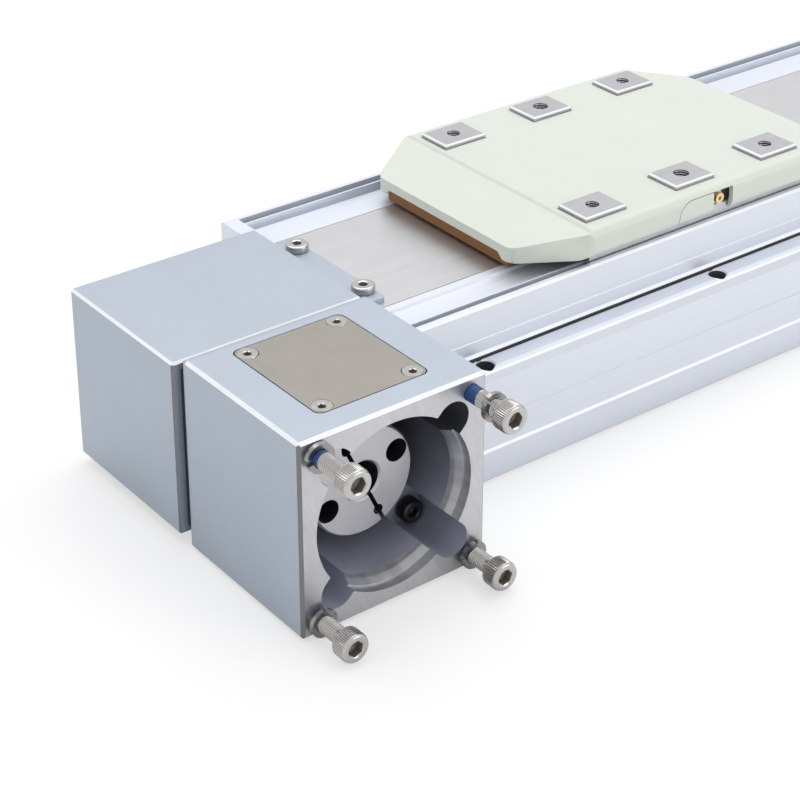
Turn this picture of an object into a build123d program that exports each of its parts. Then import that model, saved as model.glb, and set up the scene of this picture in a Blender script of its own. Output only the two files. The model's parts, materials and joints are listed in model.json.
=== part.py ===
from build123d import *
import math
import os

# Belt-driven linear stage. Millimetres, +Z up. X is the direction of travel, the motor face looks
# along -Y. The origin is the centre of the underside of the base profile.

os.makedirs("parts", exist_ok=True)

# Named clearances
press_gap = 0.02
running_gap = 0.3
seam_gap = 0.25

# Base profile
body_length = 420.0
base_width = 110.0
ledge_height = 36.0
upper_width = 91.0
wall_top = 51.7
wall_thickness = 2.1
cavity_step_height = 33.0
cavity_width = 78.0
shelf_height = 20.8
trough_width = 22.0
trough_floor = 12.0
ledge_chamfer = 3.0
mount_hole_diameter = 5.5
mount_hole_margin = 26.0
mount_hole_count = 5
mount_hole_spacing_y = 100.0

# End plates and the deck between them
plate_thickness = 5.0
deck_bottom = 47.0
deck_top = 50.0
deck_width = 81.8
plateau_width = 58.8
deck_groove_width = 1.6
deck_rib_width = 0.6
deck_rib_top = 51.3
strip_width = 52.0
strip_thickness = 0.6
support_length = 12.0
strip_clamp_length = 10.5
strip_clamp_width = 47.0
strip_clamp_thickness = 1.4
strip_screw_spacing = 33.0

# Drive train
axis_height = 29.5
tooth_pitch = 5.0
tooth_count = 16
belt_width = 16.0
belt_back = 1.0
belt_tooth_height = 1.2
idler_setback = 2.4
shaft_diameter = 12.0
bearing_diameter = 28.0
bearing_width = 8.0
idler_axle_diameter = 10.0
flange_radius = 14.5
flange_thickness = 1.5

# Housings
housing_width = 62.4
housing_depth = 54.0
housing_height = 54.0
housing_cavity_width = 27.0
idler_cavity_width = 34.0
spacer_thickness = 1.6
coupling_side_step = 1.2
coupling_housing_height = 59.0
coupling_housing_depth = 54.9

# Motor interface
pilot_diameter = 50.0
pilot_depth = 3.0
cone_depth = 3.5
chamber_diameter = 46.0
chamber_depth = 47.0
notch_radius = 4.4
tie_side_inset = 12.1
tie_height_inset = 7.9
notch_depth = 21.0
motor_screw_edge = 5.25
motor_screw_rise = 4.75
motor_screw_diameter = 5.0
motor_screw_length = 20.0
motor_screw_head_diameter = 8.5
motor_screw_head_height = 5.0
motor_screw_drive = 4.0
motor_thread_depth = 14.0
motor_bore_diameter = 11.0
coupling_diameter = 32.5
coupling_setback = 14.5
hub_length = 12.0

# Carriage
carriage_rest_x = -93.0
cover_length = 134.6
cover_width = 90.0
cover_end_width = 64.0
crease_length = 92.8
cover_bottom = 53.2
cover_end_height = 58.0
cover_top = 62.6
cover_side_wall = 1.7
cover_top_wall = 2.3
pad_top = 64.0
pad_length = 16.0
pad_width = 12.5
pad_pitch_x = 36.5
pad_pitch_y = 66.0
pad_thread_diameter = 4.2
pad_plain_diameter = 5.0
saddle_length = 92.0
saddle_bottom = 33.8
saddle_thickness = 5.0
leg_thickness = 1.6
rail_width = 12.0
rail_height = 8.0
rail_end_gap = 1.0
block_width = 27.0
block_length = 44.0
block_lift = 3.0
block_side_gap = 1.5

# Derived positions
body_half = body_length / 2
profile_half = body_half - plate_thickness
drive_x = -(body_half + housing_width / 2)
idler_x = body_half + housing_width / 2 - idler_setback
axle_distance = idler_x - drive_x
mount_hole_pitch = (body_length - 2 * mount_hole_margin) / (mount_hole_count - 1)
rail_length = 2 * (profile_half - support_length - rail_end_gap)
rail_spacing = cavity_width - block_width - 2 * block_side_gap
coupling_housing_width = housing_width - 2 * coupling_side_step
pitch_radius = tooth_pitch * tooth_count / (2 * math.pi)
belt_inner = pitch_radius - belt_back / 2
belt_outer = pitch_radius + belt_back / 2
belt_tip = belt_inner - belt_tooth_height
housing_bottom = axis_height - housing_height / 2
front_face = -(housing_depth / 2 + spacer_thickness + coupling_housing_depth)
motor_offset_x = coupling_housing_width / 2 - motor_screw_edge
motor_offset_z = axis_height - motor_screw_rise
tie_pitch_x = housing_width - 2 * tie_side_inset
tie_pitch_z = housing_height - 2 * tie_height_inset
cavity_top_half = upper_width / 2 - wall_thickness
saddle_top = saddle_bottom + saddle_thickness
leg_outer = cavity_top_half - 0.5


def both_sides(points):
    """Closed outline from the points of its +Y half, listed from the bottom centre to the top centre."""
    return points + [(-y, z) for y, z in reversed(points) if y > 0]


def at_y(y):
    """Sketch plane that faces -Y at the given Y."""
    return Plane.XZ.offset(-y)


def outline(points):
    """Face inside a closed outline, in the open sketch."""
    with BuildLine() as edge:
        Polyline(*points, close=True)
    make_face(edge.edges())


def ring(outer, inner):
    """Flat ring in the open sketch."""
    Circle(outer)
    Circle(inner, mode=Mode.SUBTRACT)


def socket_screw(diameter, length, head_diameter, head_height, drive):
    """Socket head screw along Z: the head stands on Z = 0, the shank hangs below it."""
    with BuildPart() as screw:
        with BuildSketch(Plane.XY.offset(-length)):
            Circle(diameter / 2)
        extrude(amount=length)
        with BuildSketch():
            Circle(head_diameter / 2)
        extrude(amount=head_height)
        with BuildSketch(Plane.XY.offset(head_height)):
            RegularPolygon(drive / 2, 6, major_radius=False)
        extrude(amount=-head_height / 2, mode=Mode.SUBTRACT)
    return screw.part


def flush_screw(diameter, length, head_diameter, drive):
    """Countersunk socket screw along Z: the top of its head is at Z = 0."""
    cone = (head_diameter - diameter) / 2
    with BuildPart() as screw:
        with BuildSketch(Plane.XZ):
            head = [(0, 0), (head_diameter / 2, 0), (diameter / 2, -cone)]
            outline(head + [(diameter / 2, -length), (0, -length)])
        revolve(axis=Axis.Z)
        with BuildSketch():
            RegularPolygon(drive / 2, 6, major_radius=False)
        extrude(amount=-cone * 0.8, mode=Mode.SUBTRACT)
    return screw.part


def finish(builder, label):
    """Names a sub-part and writes its STEP file."""
    builder.part.label = label
    export_step(builder.part, "parts/" + label + ".step")


# Base profile: one extruded section with a belt trough, two rail shelves and thin upper walls
side_half = base_width / 2
groove_z = 10.7
line_z = 21.0
upper_half = upper_width / 2
profile_outer = [
    (0, 0), (side_half - 1, 0), (side_half, 1), (side_half, groove_z - 0.6), (side_half - 0.6, groove_z),
    (side_half, groove_z + 0.6), (side_half, line_z - 0.3), (side_half - 0.3, line_z),
    (side_half, line_z + 0.3),
    (side_half, ledge_height - ledge_chamfer), (side_half - ledge_chamfer, ledge_height),
]
profile_upper = [
    (upper_half + 1.6, ledge_height), (upper_half + 1.6, ledge_height - 0.8),
    (upper_half + 0.8, ledge_height - 0.8),
    (upper_half + 0.8, ledge_height + 0.6), (upper_half, ledge_height + 1.4), (upper_half, wall_top - 10.5),
    (upper_half - 0.25, wall_top - 10.2), (upper_half, wall_top - 9.9), (upper_half, wall_top - 0.7),
    (upper_half - 0.7, wall_top), (cavity_top_half, wall_top),
]
profile_inner = [
    (cavity_top_half, cavity_step_height), (cavity_width / 2, cavity_step_height),
    (cavity_width / 2, shelf_height),
    (trough_width / 2, shelf_height), (trough_width / 2, trough_floor), (0, trough_floor),
]
chamber_y = 25.0
chamber_size = (20.0, 9.0)
rail_screw_margin = 12.0
rail_screw_count = 7
rail_screw_pitch = (rail_length - 2 * rail_screw_margin) / (rail_screw_count - 1)
rail_screw_diameter = 3.0
rail_screw_length = 10.0
rail_thread_depth = 6.0
end_screw_y = 47.0
end_screw_z = (9.0, 27.0)
end_screw_diameter = 4.0
end_hole_radius = end_screw_diameter / 2 + press_gap
end_thread_depth = 12.0

with BuildPart() as base_profile:
    with BuildSketch(Plane.YZ.offset(-profile_half)):
        outline(both_sides(profile_outer + profile_upper + profile_inner))
    extrude(amount=2 * profile_half)
    with BuildSketch(Plane.YZ.offset(-profile_half)):
        with Locations((chamber_y, 8.5), (-chamber_y, 8.5)):
            RectangleRounded(*chamber_size, 1.5)
    extrude(amount=2 * profile_half, mode=Mode.SUBTRACT)
    with Locations(Plane.XY.offset(ledge_height)):
        with GridLocations(mount_hole_pitch, mount_hole_spacing_y, mount_hole_count, 2):
            CounterSinkHole(mount_hole_diameter / 2, mount_hole_diameter / 2 + 0.4, ledge_height)
    with Locations(Plane.XY.offset(shelf_height)):
        with GridLocations(rail_screw_pitch, rail_spacing, rail_screw_count, 2):
            Hole(rail_screw_diameter / 2 + press_gap, rail_thread_depth)
    for end in (-1, 1):
        with Locations(Plane((end * profile_half, 0, 0), (0, 1, 0), (end, 0, 0))):
            with Locations(*[(y, z * end) for y in (-end_screw_y, end_screw_y) for z in end_screw_z]):
                Hole(end_hole_radius, end_thread_depth)
finish(base_profile, "base_profile")


# Guide rails: two profiled bars with a ball groove on each flank
rail_half = rail_width / 2
rail_outline = [
    (-rail_half, 0), (rail_half, 0), (rail_half, 3), (rail_half - 1, 4.2), (rail_half, 5.4),
    (rail_half, rail_height - 0.5), (rail_half - 0.5, rail_height), (-rail_half + 0.5, rail_height),
    (-rail_half, rail_height - 0.5), (-rail_half, 5.4), (-rail_half + 1, 4.2), (-rail_half, 3),
]
rail_head_diameter = 5.5
rail_head_height = 3.0
rail_head_depth = 3.5
rail_head_gap = 0.3
rail_drive = 2.5


def rail_features(y):
    """One guide rail, centred on the given Y, with its counterbored screw holes."""
    with BuildSketch(Plane.YZ.offset(-rail_length / 2)) as section:
        outline([(y + a, shelf_height + b) for a, b in rail_outline])
    extrude(section.sketch, amount=rail_length)
    with Locations(Plane.XY.offset(shelf_height + rail_height)):
        with Locations((0, y)):
            with GridLocations(rail_screw_pitch, 1, rail_screw_count, 1):
                CounterBoreHole(
                    rail_screw_diameter / 2 + press_gap, rail_head_diameter / 2 + rail_head_gap, rail_head_depth
                )


with BuildPart() as guide_rail_front:
    rail_features(-rail_spacing / 2)
finish(guide_rail_front, "guide_rail_front")

with BuildPart() as guide_rail_rear:
    rail_features(rail_spacing / 2)
finish(guide_rail_rear, "guide_rail_rear")

rail_screw = socket_screw(
    rail_screw_diameter, rail_screw_length, rail_head_diameter, rail_head_height, rail_drive
)
with BuildPart() as rail_screws:
    with Locations(Plane.XY.offset(shelf_height + rail_height - rail_head_depth)):
        with GridLocations(rail_screw_pitch, rail_spacing, rail_screw_count, 2):
            add(rail_screw)
finish(rail_screws, "rail_screws")


# End plates: close the profile's ends, with a window for the belt
window_half = trough_width / 2
window_top = 45.0
housing_screw_inset = 5.5
housing_screw_low = 9.5
housing_screw_drop = 2.5
housing_screw_y = housing_depth / 2 - housing_screw_inset
housing_screw_z = (housing_bottom + housing_screw_low, deck_bottom - housing_screw_drop)
housing_screw_spots = [(y, z) for y in (-housing_screw_y, housing_screw_y) for z in housing_screw_z]
end_head_diameter = 7.0
end_head_height = 2.4
end_head_depth = 2.6
end_head_gap = 0.2
end_screw_length = 12.0
end_screw_drive = 2.5
plate_outer = [
    (0, 0), (side_half - 1, 0), (side_half, 1), (side_half, ledge_height - ledge_chamfer),
    (side_half - ledge_chamfer, ledge_height), (upper_half, ledge_height), (upper_half, wall_top - 0.7),
    (upper_half - 0.7, wall_top), (plateau_width / 2, wall_top), (plateau_width / 2, deck_top), (0, deck_top),
]


def end_plate_features(end):
    """End plate on the -X (-1) or +X (+1) end of the profile."""
    with BuildSketch(Plane.YZ.offset(end * profile_half)) as section:
        outline(both_sides(plate_outer))
        with Locations((0, (trough_floor + window_top) / 2)):
            Rectangle(2 * window_half, window_top - trough_floor, mode=Mode.SUBTRACT)
    extrude(section.sketch, amount=end * plate_thickness)
    with Locations(Plane((end * body_half, 0, 0), (0, 1, 0), (end, 0, 0))):
        with Locations(*[(y, z * end) for y in (-end_screw_y, end_screw_y) for z in end_screw_z]):
            CounterBoreHole(end_hole_radius, end_head_diameter / 2 + end_head_gap, end_head_depth)
    with Locations(Plane((end * profile_half, 0, 0), (0, 1, 0), (-end, 0, 0))):
        with Locations(*[(y, -z * end) for y, z in housing_screw_spots]):
            CounterBoreHole(end_hole_radius, end_head_diameter / 2 + end_head_gap, end_head_depth)


with BuildPart() as end_plate_drive:
    end_plate_features(-1)
finish(end_plate_drive, "end_plate_drive")

with BuildPart() as end_plate_idler:
    end_plate_features(1)
finish(end_plate_idler, "end_plate_idler")

low_screw = socket_screw(
    end_screw_diameter, end_screw_length, end_head_diameter, end_head_height, end_screw_drive
)
with BuildPart() as end_plate_screws:
    for end in (-1, 1):
        with Locations(Plane((end * (body_half - end_head_depth), 0, 0), (0, 1, 0), (end, 0, 0))):
            with Locations(*[(y, z * end) for y in (-end_screw_y, end_screw_y) for z in end_screw_z]):
                add(low_screw)
finish(end_plate_screws, "end_plate_screws")

with BuildPart() as housing_bolts:
    for end in (-1, 1):
        with Locations(Plane((end * (profile_half + end_head_depth), 0, 0), (0, 1, 0), (-end, 0, 0))):
            with Locations(*[(y, -z * end) for y, z in housing_screw_spots]):
                add(low_screw)
finish(housing_bolts, "housing_bolts")


# Deck: fixed cover between the end supports, with slots beside it for the carriage's legs
deck_half = deck_width / 2
plateau_half = plateau_width / 2
rib_inner = deck_half - deck_rib_width
groove_inner = rib_inner - deck_groove_width
recess_half = strip_width / 2 + running_gap
deck_outline = [
    (0, deck_bottom), (deck_half - 2.4, deck_bottom), (deck_half - 2.4, deck_bottom - 1.6),
    (deck_half, deck_bottom - 1.6), (deck_half, deck_rib_top), (rib_inner, deck_rib_top),
    (rib_inner, deck_top - 1.6), (groove_inner, deck_top - 1.6), (groove_inner, deck_top - 0.7),
    (plateau_half + 0.3, deck_top - 0.7), (plateau_half - 0.4, deck_top), (recess_half, deck_top),
    (recess_half, deck_top - strip_thickness), (0, deck_top - strip_thickness),
]
strip_screw_inset = 8.0
strip_screw_x = body_half - strip_screw_inset
strip_screw_y = strip_screw_spacing / 2
strip_screw_diameter = 4.0
strip_screw_length = 10.0
strip_head_diameter = 7.0
strip_head_height = 2.2
strip_screw_drive = 2.5
strip_thread_depth = 8.0
strip_screw_spots = [(sx * strip_screw_x, sy * strip_screw_y) for sx in (-1, 1) for sy in (-1, 1)]
with BuildPart() as deck:
    with BuildSketch(Plane.YZ.offset(-profile_half)):
        outline(both_sides(deck_outline))
    extrude(amount=2 * profile_half)
    with Locations(Plane.XY.offset(deck_top)):
        with Locations(*strip_screw_spots):
            Hole(strip_screw_diameter / 2 + press_gap)
finish(deck, "deck")

with BuildPart() as seal_strip:
    with BuildSketch(Plane.XY.offset(deck_top - strip_thickness)):
        Rectangle(2 * profile_half, strip_width)
        with Locations(*strip_screw_spots):
            Circle(strip_screw_diameter / 2 + press_gap, mode=Mode.SUBTRACT)
    extrude(amount=strip_thickness)
finish(seal_strip, "seal_strip")

support_gap = 1.0
support_half = cavity_width / 2 - support_gap
support_roof = 3.0


def support_features(end):
    """Portal block under one end of the deck, standing on the rail shelves."""
    with BuildSketch(Plane.YZ.offset(end * profile_half)) as section:
        with Locations((0, (shelf_height + deck_bottom) / 2)):
            Rectangle(2 * support_half, deck_bottom - shelf_height)
        with Locations((0, (shelf_height + deck_bottom - support_roof) / 2)):
            Rectangle(2 * window_half, deck_bottom - support_roof - shelf_height, mode=Mode.SUBTRACT)
    extrude(section.sketch, amount=-end * support_length)
    with Locations(Plane.XY.offset(deck_bottom)):
        with Locations((end * strip_screw_x, -strip_screw_y), (end * strip_screw_x, strip_screw_y)):
            Hole(strip_screw_diameter / 2 + press_gap, strip_thread_depth)


with BuildPart() as deck_support_drive:
    support_features(-1)
finish(deck_support_drive, "deck_support_drive")

with BuildPart() as deck_support_idler:
    support_features(1)
finish(deck_support_idler, "deck_support_idler")

strip_clamp_inset = 0.5
clamp_x = body_half - strip_clamp_inset - strip_clamp_length / 2
with BuildPart() as strip_clamps:
    with BuildSketch(Plane.XY.offset(deck_top)):
        with Locations((-clamp_x, 0), (clamp_x, 0)):
            RectangleRounded(strip_clamp_length, strip_clamp_width, 1.5)
        with Locations(*strip_screw_spots):
            Circle(strip_screw_diameter / 2 + press_gap, mode=Mode.SUBTRACT)
    extrude(amount=strip_clamp_thickness)
finish(strip_clamps, "strip_clamps")

strip_screw = socket_screw(
    strip_screw_diameter, strip_screw_length, strip_head_diameter, strip_head_height, strip_screw_drive
)
with BuildPart() as strip_clamp_screws:
    with Locations(Plane.XY.offset(deck_top + strip_clamp_thickness)):
        with Locations(*strip_screw_spots):
            add(strip_screw)
finish(strip_clamp_screws, "strip_clamp_screws")

bumper_radius = 5.0
bumper_length = 9.0
bumper_edge = 3.0
bumper_y = support_half - bumper_radius - bumper_edge
bumper_z = saddle_bottom + saddle_thickness / 2
with BuildPart() as bumpers:
    for end in (-1, 1):
        with BuildSketch(Plane.YZ.offset(end * (profile_half - support_length))):
            with Locations((-bumper_y, bumper_z), (bumper_y, bumper_z)):
                Circle(bumper_radius)
        extrude(amount=-end * bumper_length)
finish(bumpers, "bumpers")


# Drive housing: box for the belt pulley, open towards the profile, with the shaft bearings
cavity_bottom = 9.0
cavity_top = 51.0
housing_wall = 6.0
service_margin = 4.2
service_width = 32.0
service_lip = 5.0
service_screw_edge = 3.0
service_cover_size = (housing_width - 2 * service_margin, service_width)
service_size = (service_cover_size[0] - 2 * service_lip, service_width - 2 * service_lip)
service_screw_spacing = (
    service_cover_size[0] - 2 * service_screw_edge, service_width - 2 * service_screw_edge
)
service_cover_thickness = 2.0
seat_setback = 2.0
retainer_radius = 20.0
retainer_screw_radius = 16.5
retainer_bore = 8.0
shoulder_radius = 12.0
tie_screw_diameter = 4.0
tie_screw_length = 42.0
tie_head_diameter = 7.0
tie_head_height = 4.0
tie_screw_drive = 3.0
tie_thread_depth = 12.0
housing_thread_depth = 10.0
cover_screw_diameter = 3.0
cover_screw_length = 5.5
cover_head_diameter = 6.0
cover_screw_drive = 2.0
shoulder_depth = 6.0
retainer_thread_depth = 8.0


def housing_shell(x, cavity_half, end):
    """Chamfered outer box round an axle at x, with the belt cavity open towards the profile."""
    reach = housing_width / 2
    with BuildSketch(Plane.XY.offset(housing_bottom)) as footprint:
        with Locations((x, 0)):
            Rectangle(housing_width, housing_depth)
    extrude(footprint.sketch, amount=housing_height)
    box = BuildPart._get_context()
    chamfer(box.edges(), 0.7)
    with BuildSketch(Plane.YZ.offset(x - end * reach)) as cavity:
        with Locations((0, (cavity_bottom + cavity_top) / 2)):
            Rectangle(2 * cavity_half, cavity_top - cavity_bottom)
    extrude(cavity.sketch, amount=end * (housing_width - housing_wall), mode=Mode.SUBTRACT)


def housing_screw_holes(end):
    """Threaded holes for the bolts through the end plate."""
    with Locations(Plane((end * body_half, 0, 0), (0, 1, 0), (-end, 0, 0))):
        with Locations(*[(y, -z * end) for y, z in housing_screw_spots]):
            Hole(end_hole_radius, housing_thread_depth)


with BuildPart() as drive_housing:
    housing_shell(drive_x, housing_cavity_width / 2, -1)
    housing_screw_holes(-1)
    for side in (-1, 1):
        with BuildSketch(at_y(side * housing_depth / 2)):
            with Locations((drive_x, axis_height)):
                Circle(retainer_radius + press_gap)
        extrude(amount=side * seat_setback, mode=Mode.SUBTRACT)
        with BuildSketch(at_y(side * (housing_depth / 2 - seat_setback))):
            with Locations((drive_x, axis_height)):
                Circle(bearing_diameter / 2 + press_gap)
        extrude(amount=side * bearing_width, mode=Mode.SUBTRACT)
        with BuildSketch(at_y(side * (housing_depth / 2 - seat_setback - bearing_width))):
            with Locations((drive_x, axis_height)):
                Circle(shoulder_radius)
        extrude(amount=side * shoulder_depth, mode=Mode.SUBTRACT)
        with BuildSketch(at_y(side * (housing_depth / 2 - seat_setback))):
            with Locations((drive_x, axis_height)):
                with PolarLocations(retainer_screw_radius, 3, start_angle=90):
                    Circle(cover_screw_diameter / 2 + press_gap)
        extrude(amount=side * retainer_thread_depth, mode=Mode.SUBTRACT)
    with BuildSketch(at_y(-housing_depth / 2)):
        with Locations((drive_x, axis_height)):
            with GridLocations(tie_pitch_x, tie_pitch_z, 2, 2):
                Circle(tie_screw_diameter / 2 + press_gap)
    extrude(amount=-tie_thread_depth, mode=Mode.SUBTRACT)
    with BuildSketch(Plane.XY.offset(housing_bottom)):
        with Locations((drive_x, 0)):
            Rectangle(*service_cover_size)
    extrude(amount=service_cover_thickness, mode=Mode.SUBTRACT)
    with BuildSketch(Plane.XY.offset(housing_bottom)):
        with Locations((drive_x, 0)):
            Rectangle(*service_size)
    extrude(amount=cavity_bottom - housing_bottom, mode=Mode.SUBTRACT)
    with BuildSketch(Plane.XY.offset(housing_bottom)):
        with Locations((drive_x, 0)):
            with GridLocations(*service_screw_spacing, 2, 2):
                Circle(cover_screw_diameter / 2 + press_gap)
    extrude(amount=cavity_bottom - housing_bottom, mode=Mode.SUBTRACT)
finish(drive_housing, "drive_housing")

with BuildPart() as service_cover:
    with BuildSketch(Plane.XY.offset(housing_bottom)):
        with Locations((drive_x, 0)):
            Rectangle(service_cover_size[0] - 2 * press_gap, service_cover_size[1] - 2 * press_gap)
    extrude(amount=service_cover_thickness)
    with Locations(Plane((drive_x, 0, housing_bottom), (1, 0, 0), (0, 0, -1))):
        with GridLocations(*service_screw_spacing, 2, 2):
            CounterSinkHole(cover_screw_diameter / 2 + press_gap, cover_head_diameter / 2 + press_gap)
finish(service_cover, "service_cover")

cover_screw = flush_screw(cover_screw_diameter, cover_screw_length, cover_head_diameter, cover_screw_drive)
with BuildPart() as service_cover_screws:
    with Locations(Plane((drive_x, 0, housing_bottom), (1, 0, 0), (0, 0, -1))):
        with GridLocations(*service_screw_spacing, 2, 2):
            add(cover_screw)
finish(service_cover_screws, "service_cover_screws")

with BuildPart() as bearing_retainers:
    for side in (-1, 1):
        with BuildSketch(at_y(side * housing_depth / 2)):
            with Locations((drive_x, axis_height)):
                Circle(retainer_radius)
                Circle(retainer_bore, mode=Mode.SUBTRACT)
        extrude(amount=side * seat_setback)
        with Locations(Plane((drive_x, side * housing_depth / 2, axis_height), (side, 0, 0), (0, side, 0))):
            with PolarLocations(retainer_screw_radius, 3, start_angle=-90):
                CounterSinkHole(
                    cover_screw_diameter / 2 + press_gap, cover_head_diameter / 2 + press_gap, seat_setback
                )
finish(bearing_retainers, "bearing_retainers")

retainer_screw = flush_screw(
    cover_screw_diameter, retainer_thread_depth, cover_head_diameter, cover_screw_drive
)
with BuildPart() as bearing_retainer_screws:
    for side in (-1, 1):
        with Locations(Plane((drive_x, side * housing_depth / 2, axis_height), (side, 0, 0), (0, side, 0))):
            with PolarLocations(retainer_screw_radius, 3, start_angle=-90):
                add(retainer_screw)
finish(bearing_retainer_screws, "bearing_retainer_screws")


# Recessed spacer between the two housings
spacer_inset = 2.6
with BuildPart() as housing_spacer:
    with BuildSketch(at_y(-housing_depth / 2)):
        with Locations((drive_x, axis_height)):
            Rectangle(housing_width - 2 * spacer_inset, housing_height - 2 * spacer_inset)
            Circle(shoulder_radius, mode=Mode.SUBTRACT)
            with GridLocations(tie_pitch_x, tie_pitch_z, 2, 2):
                Circle(tie_screw_diameter / 2 + press_gap, mode=Mode.SUBTRACT)
    extrude(amount=spacer_thickness)
finish(housing_spacer, "housing_spacer")


# Coupling housing: motor pilot, cone, chamber, four round notches and an access window
coupling_rear_fillet = 3.0
coupling_edge = 0.9
pilot_step = 0.4
cover_thread_depth = 6.0
cover_plate_gap = 0.15
window_size = (22.0, 27.0)
cover_plate_size = (36.0, 40.5)
cover_plate_thickness = 2.0
cover_plate_y = -54.9
cover_screw_spacing = (29.0, 33.8)
motor_holes = [(sx * motor_offset_x, sz * motor_offset_z) for sx in (-1, 1) for sz in (-1, 1)]
chamber_wall_y = front_face + chamber_depth
pilot_radius = pilot_diameter / 2
chamber_radius = chamber_diameter / 2
pocket_outline = [
    (0, 0), (pilot_radius, 0), (pilot_radius, pilot_depth), (pilot_radius - pilot_step, pilot_depth),
    (chamber_radius, pilot_depth + cone_depth), (chamber_radius, chamber_depth), (0, chamber_depth),
]
with BuildPart() as coupling_housing:
    with BuildSketch(at_y(front_face)):
        with Locations((drive_x, coupling_housing_height / 2)):
            Rectangle(coupling_housing_width, coupling_housing_height)
    extrude(amount=-coupling_housing_depth)
    fillet(coupling_housing.edges().filter_by(Axis.Z).sort_by(Axis.Y)[-2:], coupling_rear_fillet)
    chamfer(coupling_housing.faces().sort_by(Axis.Y)[0].edges(), coupling_edge)
    chamfer(coupling_housing.faces().sort_by(Axis.Z)[-1].edges().filter_by(Axis.Y), coupling_edge)
    chamfer(coupling_housing.faces().sort_by(Axis.Z)[0].edges().filter_by(Axis.Y), coupling_edge)
    with BuildSketch(Plane((drive_x, front_face, axis_height), (1, 0, 0), (0, 0, 1))):
        outline(pocket_outline)
    revolve(axis=Axis((drive_x, front_face, axis_height), (0, 1, 0)), mode=Mode.SUBTRACT)
    with BuildSketch(at_y(front_face)):
        with Locations((drive_x, axis_height)):
            with GridLocations(tie_pitch_x, tie_pitch_z, 2, 2):
                Circle(notch_radius)
    extrude(amount=-notch_depth, mode=Mode.SUBTRACT)
    with BuildSketch(at_y(front_face + notch_depth)):
        with Locations((drive_x, axis_height)):
            with GridLocations(tie_pitch_x, tie_pitch_z, 2, 2):
                Circle(tie_screw_diameter / 2 + press_gap)
            Circle(shoulder_radius - 2)
    extrude(amount=-coupling_housing_depth, mode=Mode.SUBTRACT)
    with BuildSketch(at_y(front_face)):
        with Locations((drive_x, axis_height)):
            with Locations(*motor_holes):
                Circle(motor_screw_diameter / 2 + press_gap)
    extrude(amount=-motor_thread_depth, mode=Mode.SUBTRACT)
    with BuildSketch(Plane.XY.offset(coupling_housing_height)):
        with Locations((drive_x, cover_plate_y)):
            RectangleRounded(*cover_plate_size, 2.5)
    extrude(amount=-cover_plate_thickness, mode=Mode.SUBTRACT)
    with BuildSketch(Plane.XY.offset(coupling_housing_height)):
        with Locations((drive_x, cover_plate_y)):
            RectangleRounded(*window_size, 3)
    extrude(amount=-(coupling_housing_height - axis_height), mode=Mode.SUBTRACT)
    with BuildSketch(Plane.XY.offset(coupling_housing_height)):
        with Locations((drive_x, cover_plate_y)):
            with GridLocations(*cover_screw_spacing, 2, 2):
                Circle(cover_screw_diameter / 2 + press_gap)
    extrude(amount=-cover_thread_depth, mode=Mode.SUBTRACT)
finish(coupling_housing, "coupling_housing")

with BuildPart() as access_cover:
    with BuildSketch(Plane.XY.offset(coupling_housing_height)):
        with Locations((drive_x, cover_plate_y)):
            RectangleRounded(*[size - 2 * cover_plate_gap for size in cover_plate_size], 2.4)
    extrude(amount=-cover_plate_thickness)
    with Locations(Plane.XY.offset(coupling_housing_height)):
        with Locations((drive_x, cover_plate_y)):
            with GridLocations(*cover_screw_spacing, 2, 2):
                CounterSinkHole(cover_screw_diameter / 2 + press_gap, cover_head_diameter / 2 + press_gap)
finish(access_cover, "access_cover")

with BuildPart() as access_cover_screws:
    with Locations(Plane.XY.offset(coupling_housing_height)):
        with Locations((drive_x, cover_plate_y)):
            with GridLocations(*cover_screw_spacing, 2, 2):
                add(cover_screw)
finish(access_cover_screws, "access_cover_screws")

tie_screw = socket_screw(
    tie_screw_diameter, tie_screw_length, tie_head_diameter, tie_head_height, tie_screw_drive
)
with BuildPart() as tie_screws:
    with Locations(Plane((drive_x, front_face + notch_depth, axis_height), (1, 0, 0), (0, -1, 0))):
        with GridLocations(tie_pitch_x, tie_pitch_z, 2, 2):
            add(tie_screw)
finish(tie_screws, "tie_screws")


# Motor screws, standing loose in the face as delivered, each with its split spring washer
motor_screw_spots = [
    (-motor_offset_x, motor_offset_z, 18.0, 1.2), (motor_offset_x, motor_offset_z, 18.0, 8.6),
    (motor_offset_x, -motor_offset_z, 15.5, 1.2), (-motor_offset_x, -motor_offset_z, 16.2, 1.4),
]
motor_screw = socket_screw(
    motor_screw_diameter, motor_screw_length, motor_screw_head_diameter, motor_screw_head_height,
    motor_screw_drive,
)
washer_outer = 4.1
washer_thickness = 1.3
with BuildPart() as motor_screws:
    for sx, sz, reach, washer in motor_screw_spots:
        seat = front_face - reach + motor_screw_head_height
        with Locations(Plane((drive_x + sx, seat, axis_height + sz), (1, 0, 0), (0, -1, 0))):
            add(motor_screw)
finish(motor_screws, "motor_screws")

with BuildPart() as motor_spring_washers:
    for sx, sz, reach, washer in motor_screw_spots:
        with BuildSketch(at_y(front_face - washer)):
            with Locations((drive_x + sx, axis_height + sz)):
                Circle(washer_outer)
                Circle(motor_screw_diameter / 2 + 0.1, mode=Mode.SUBTRACT)
                with Locations((-washer_outer, 0)):
                    Rectangle(washer_outer, 0.8, mode=Mode.SUBTRACT)
        extrude(amount=washer_thickness)
finish(motor_spring_washers, "motor_spring_washers")


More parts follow.
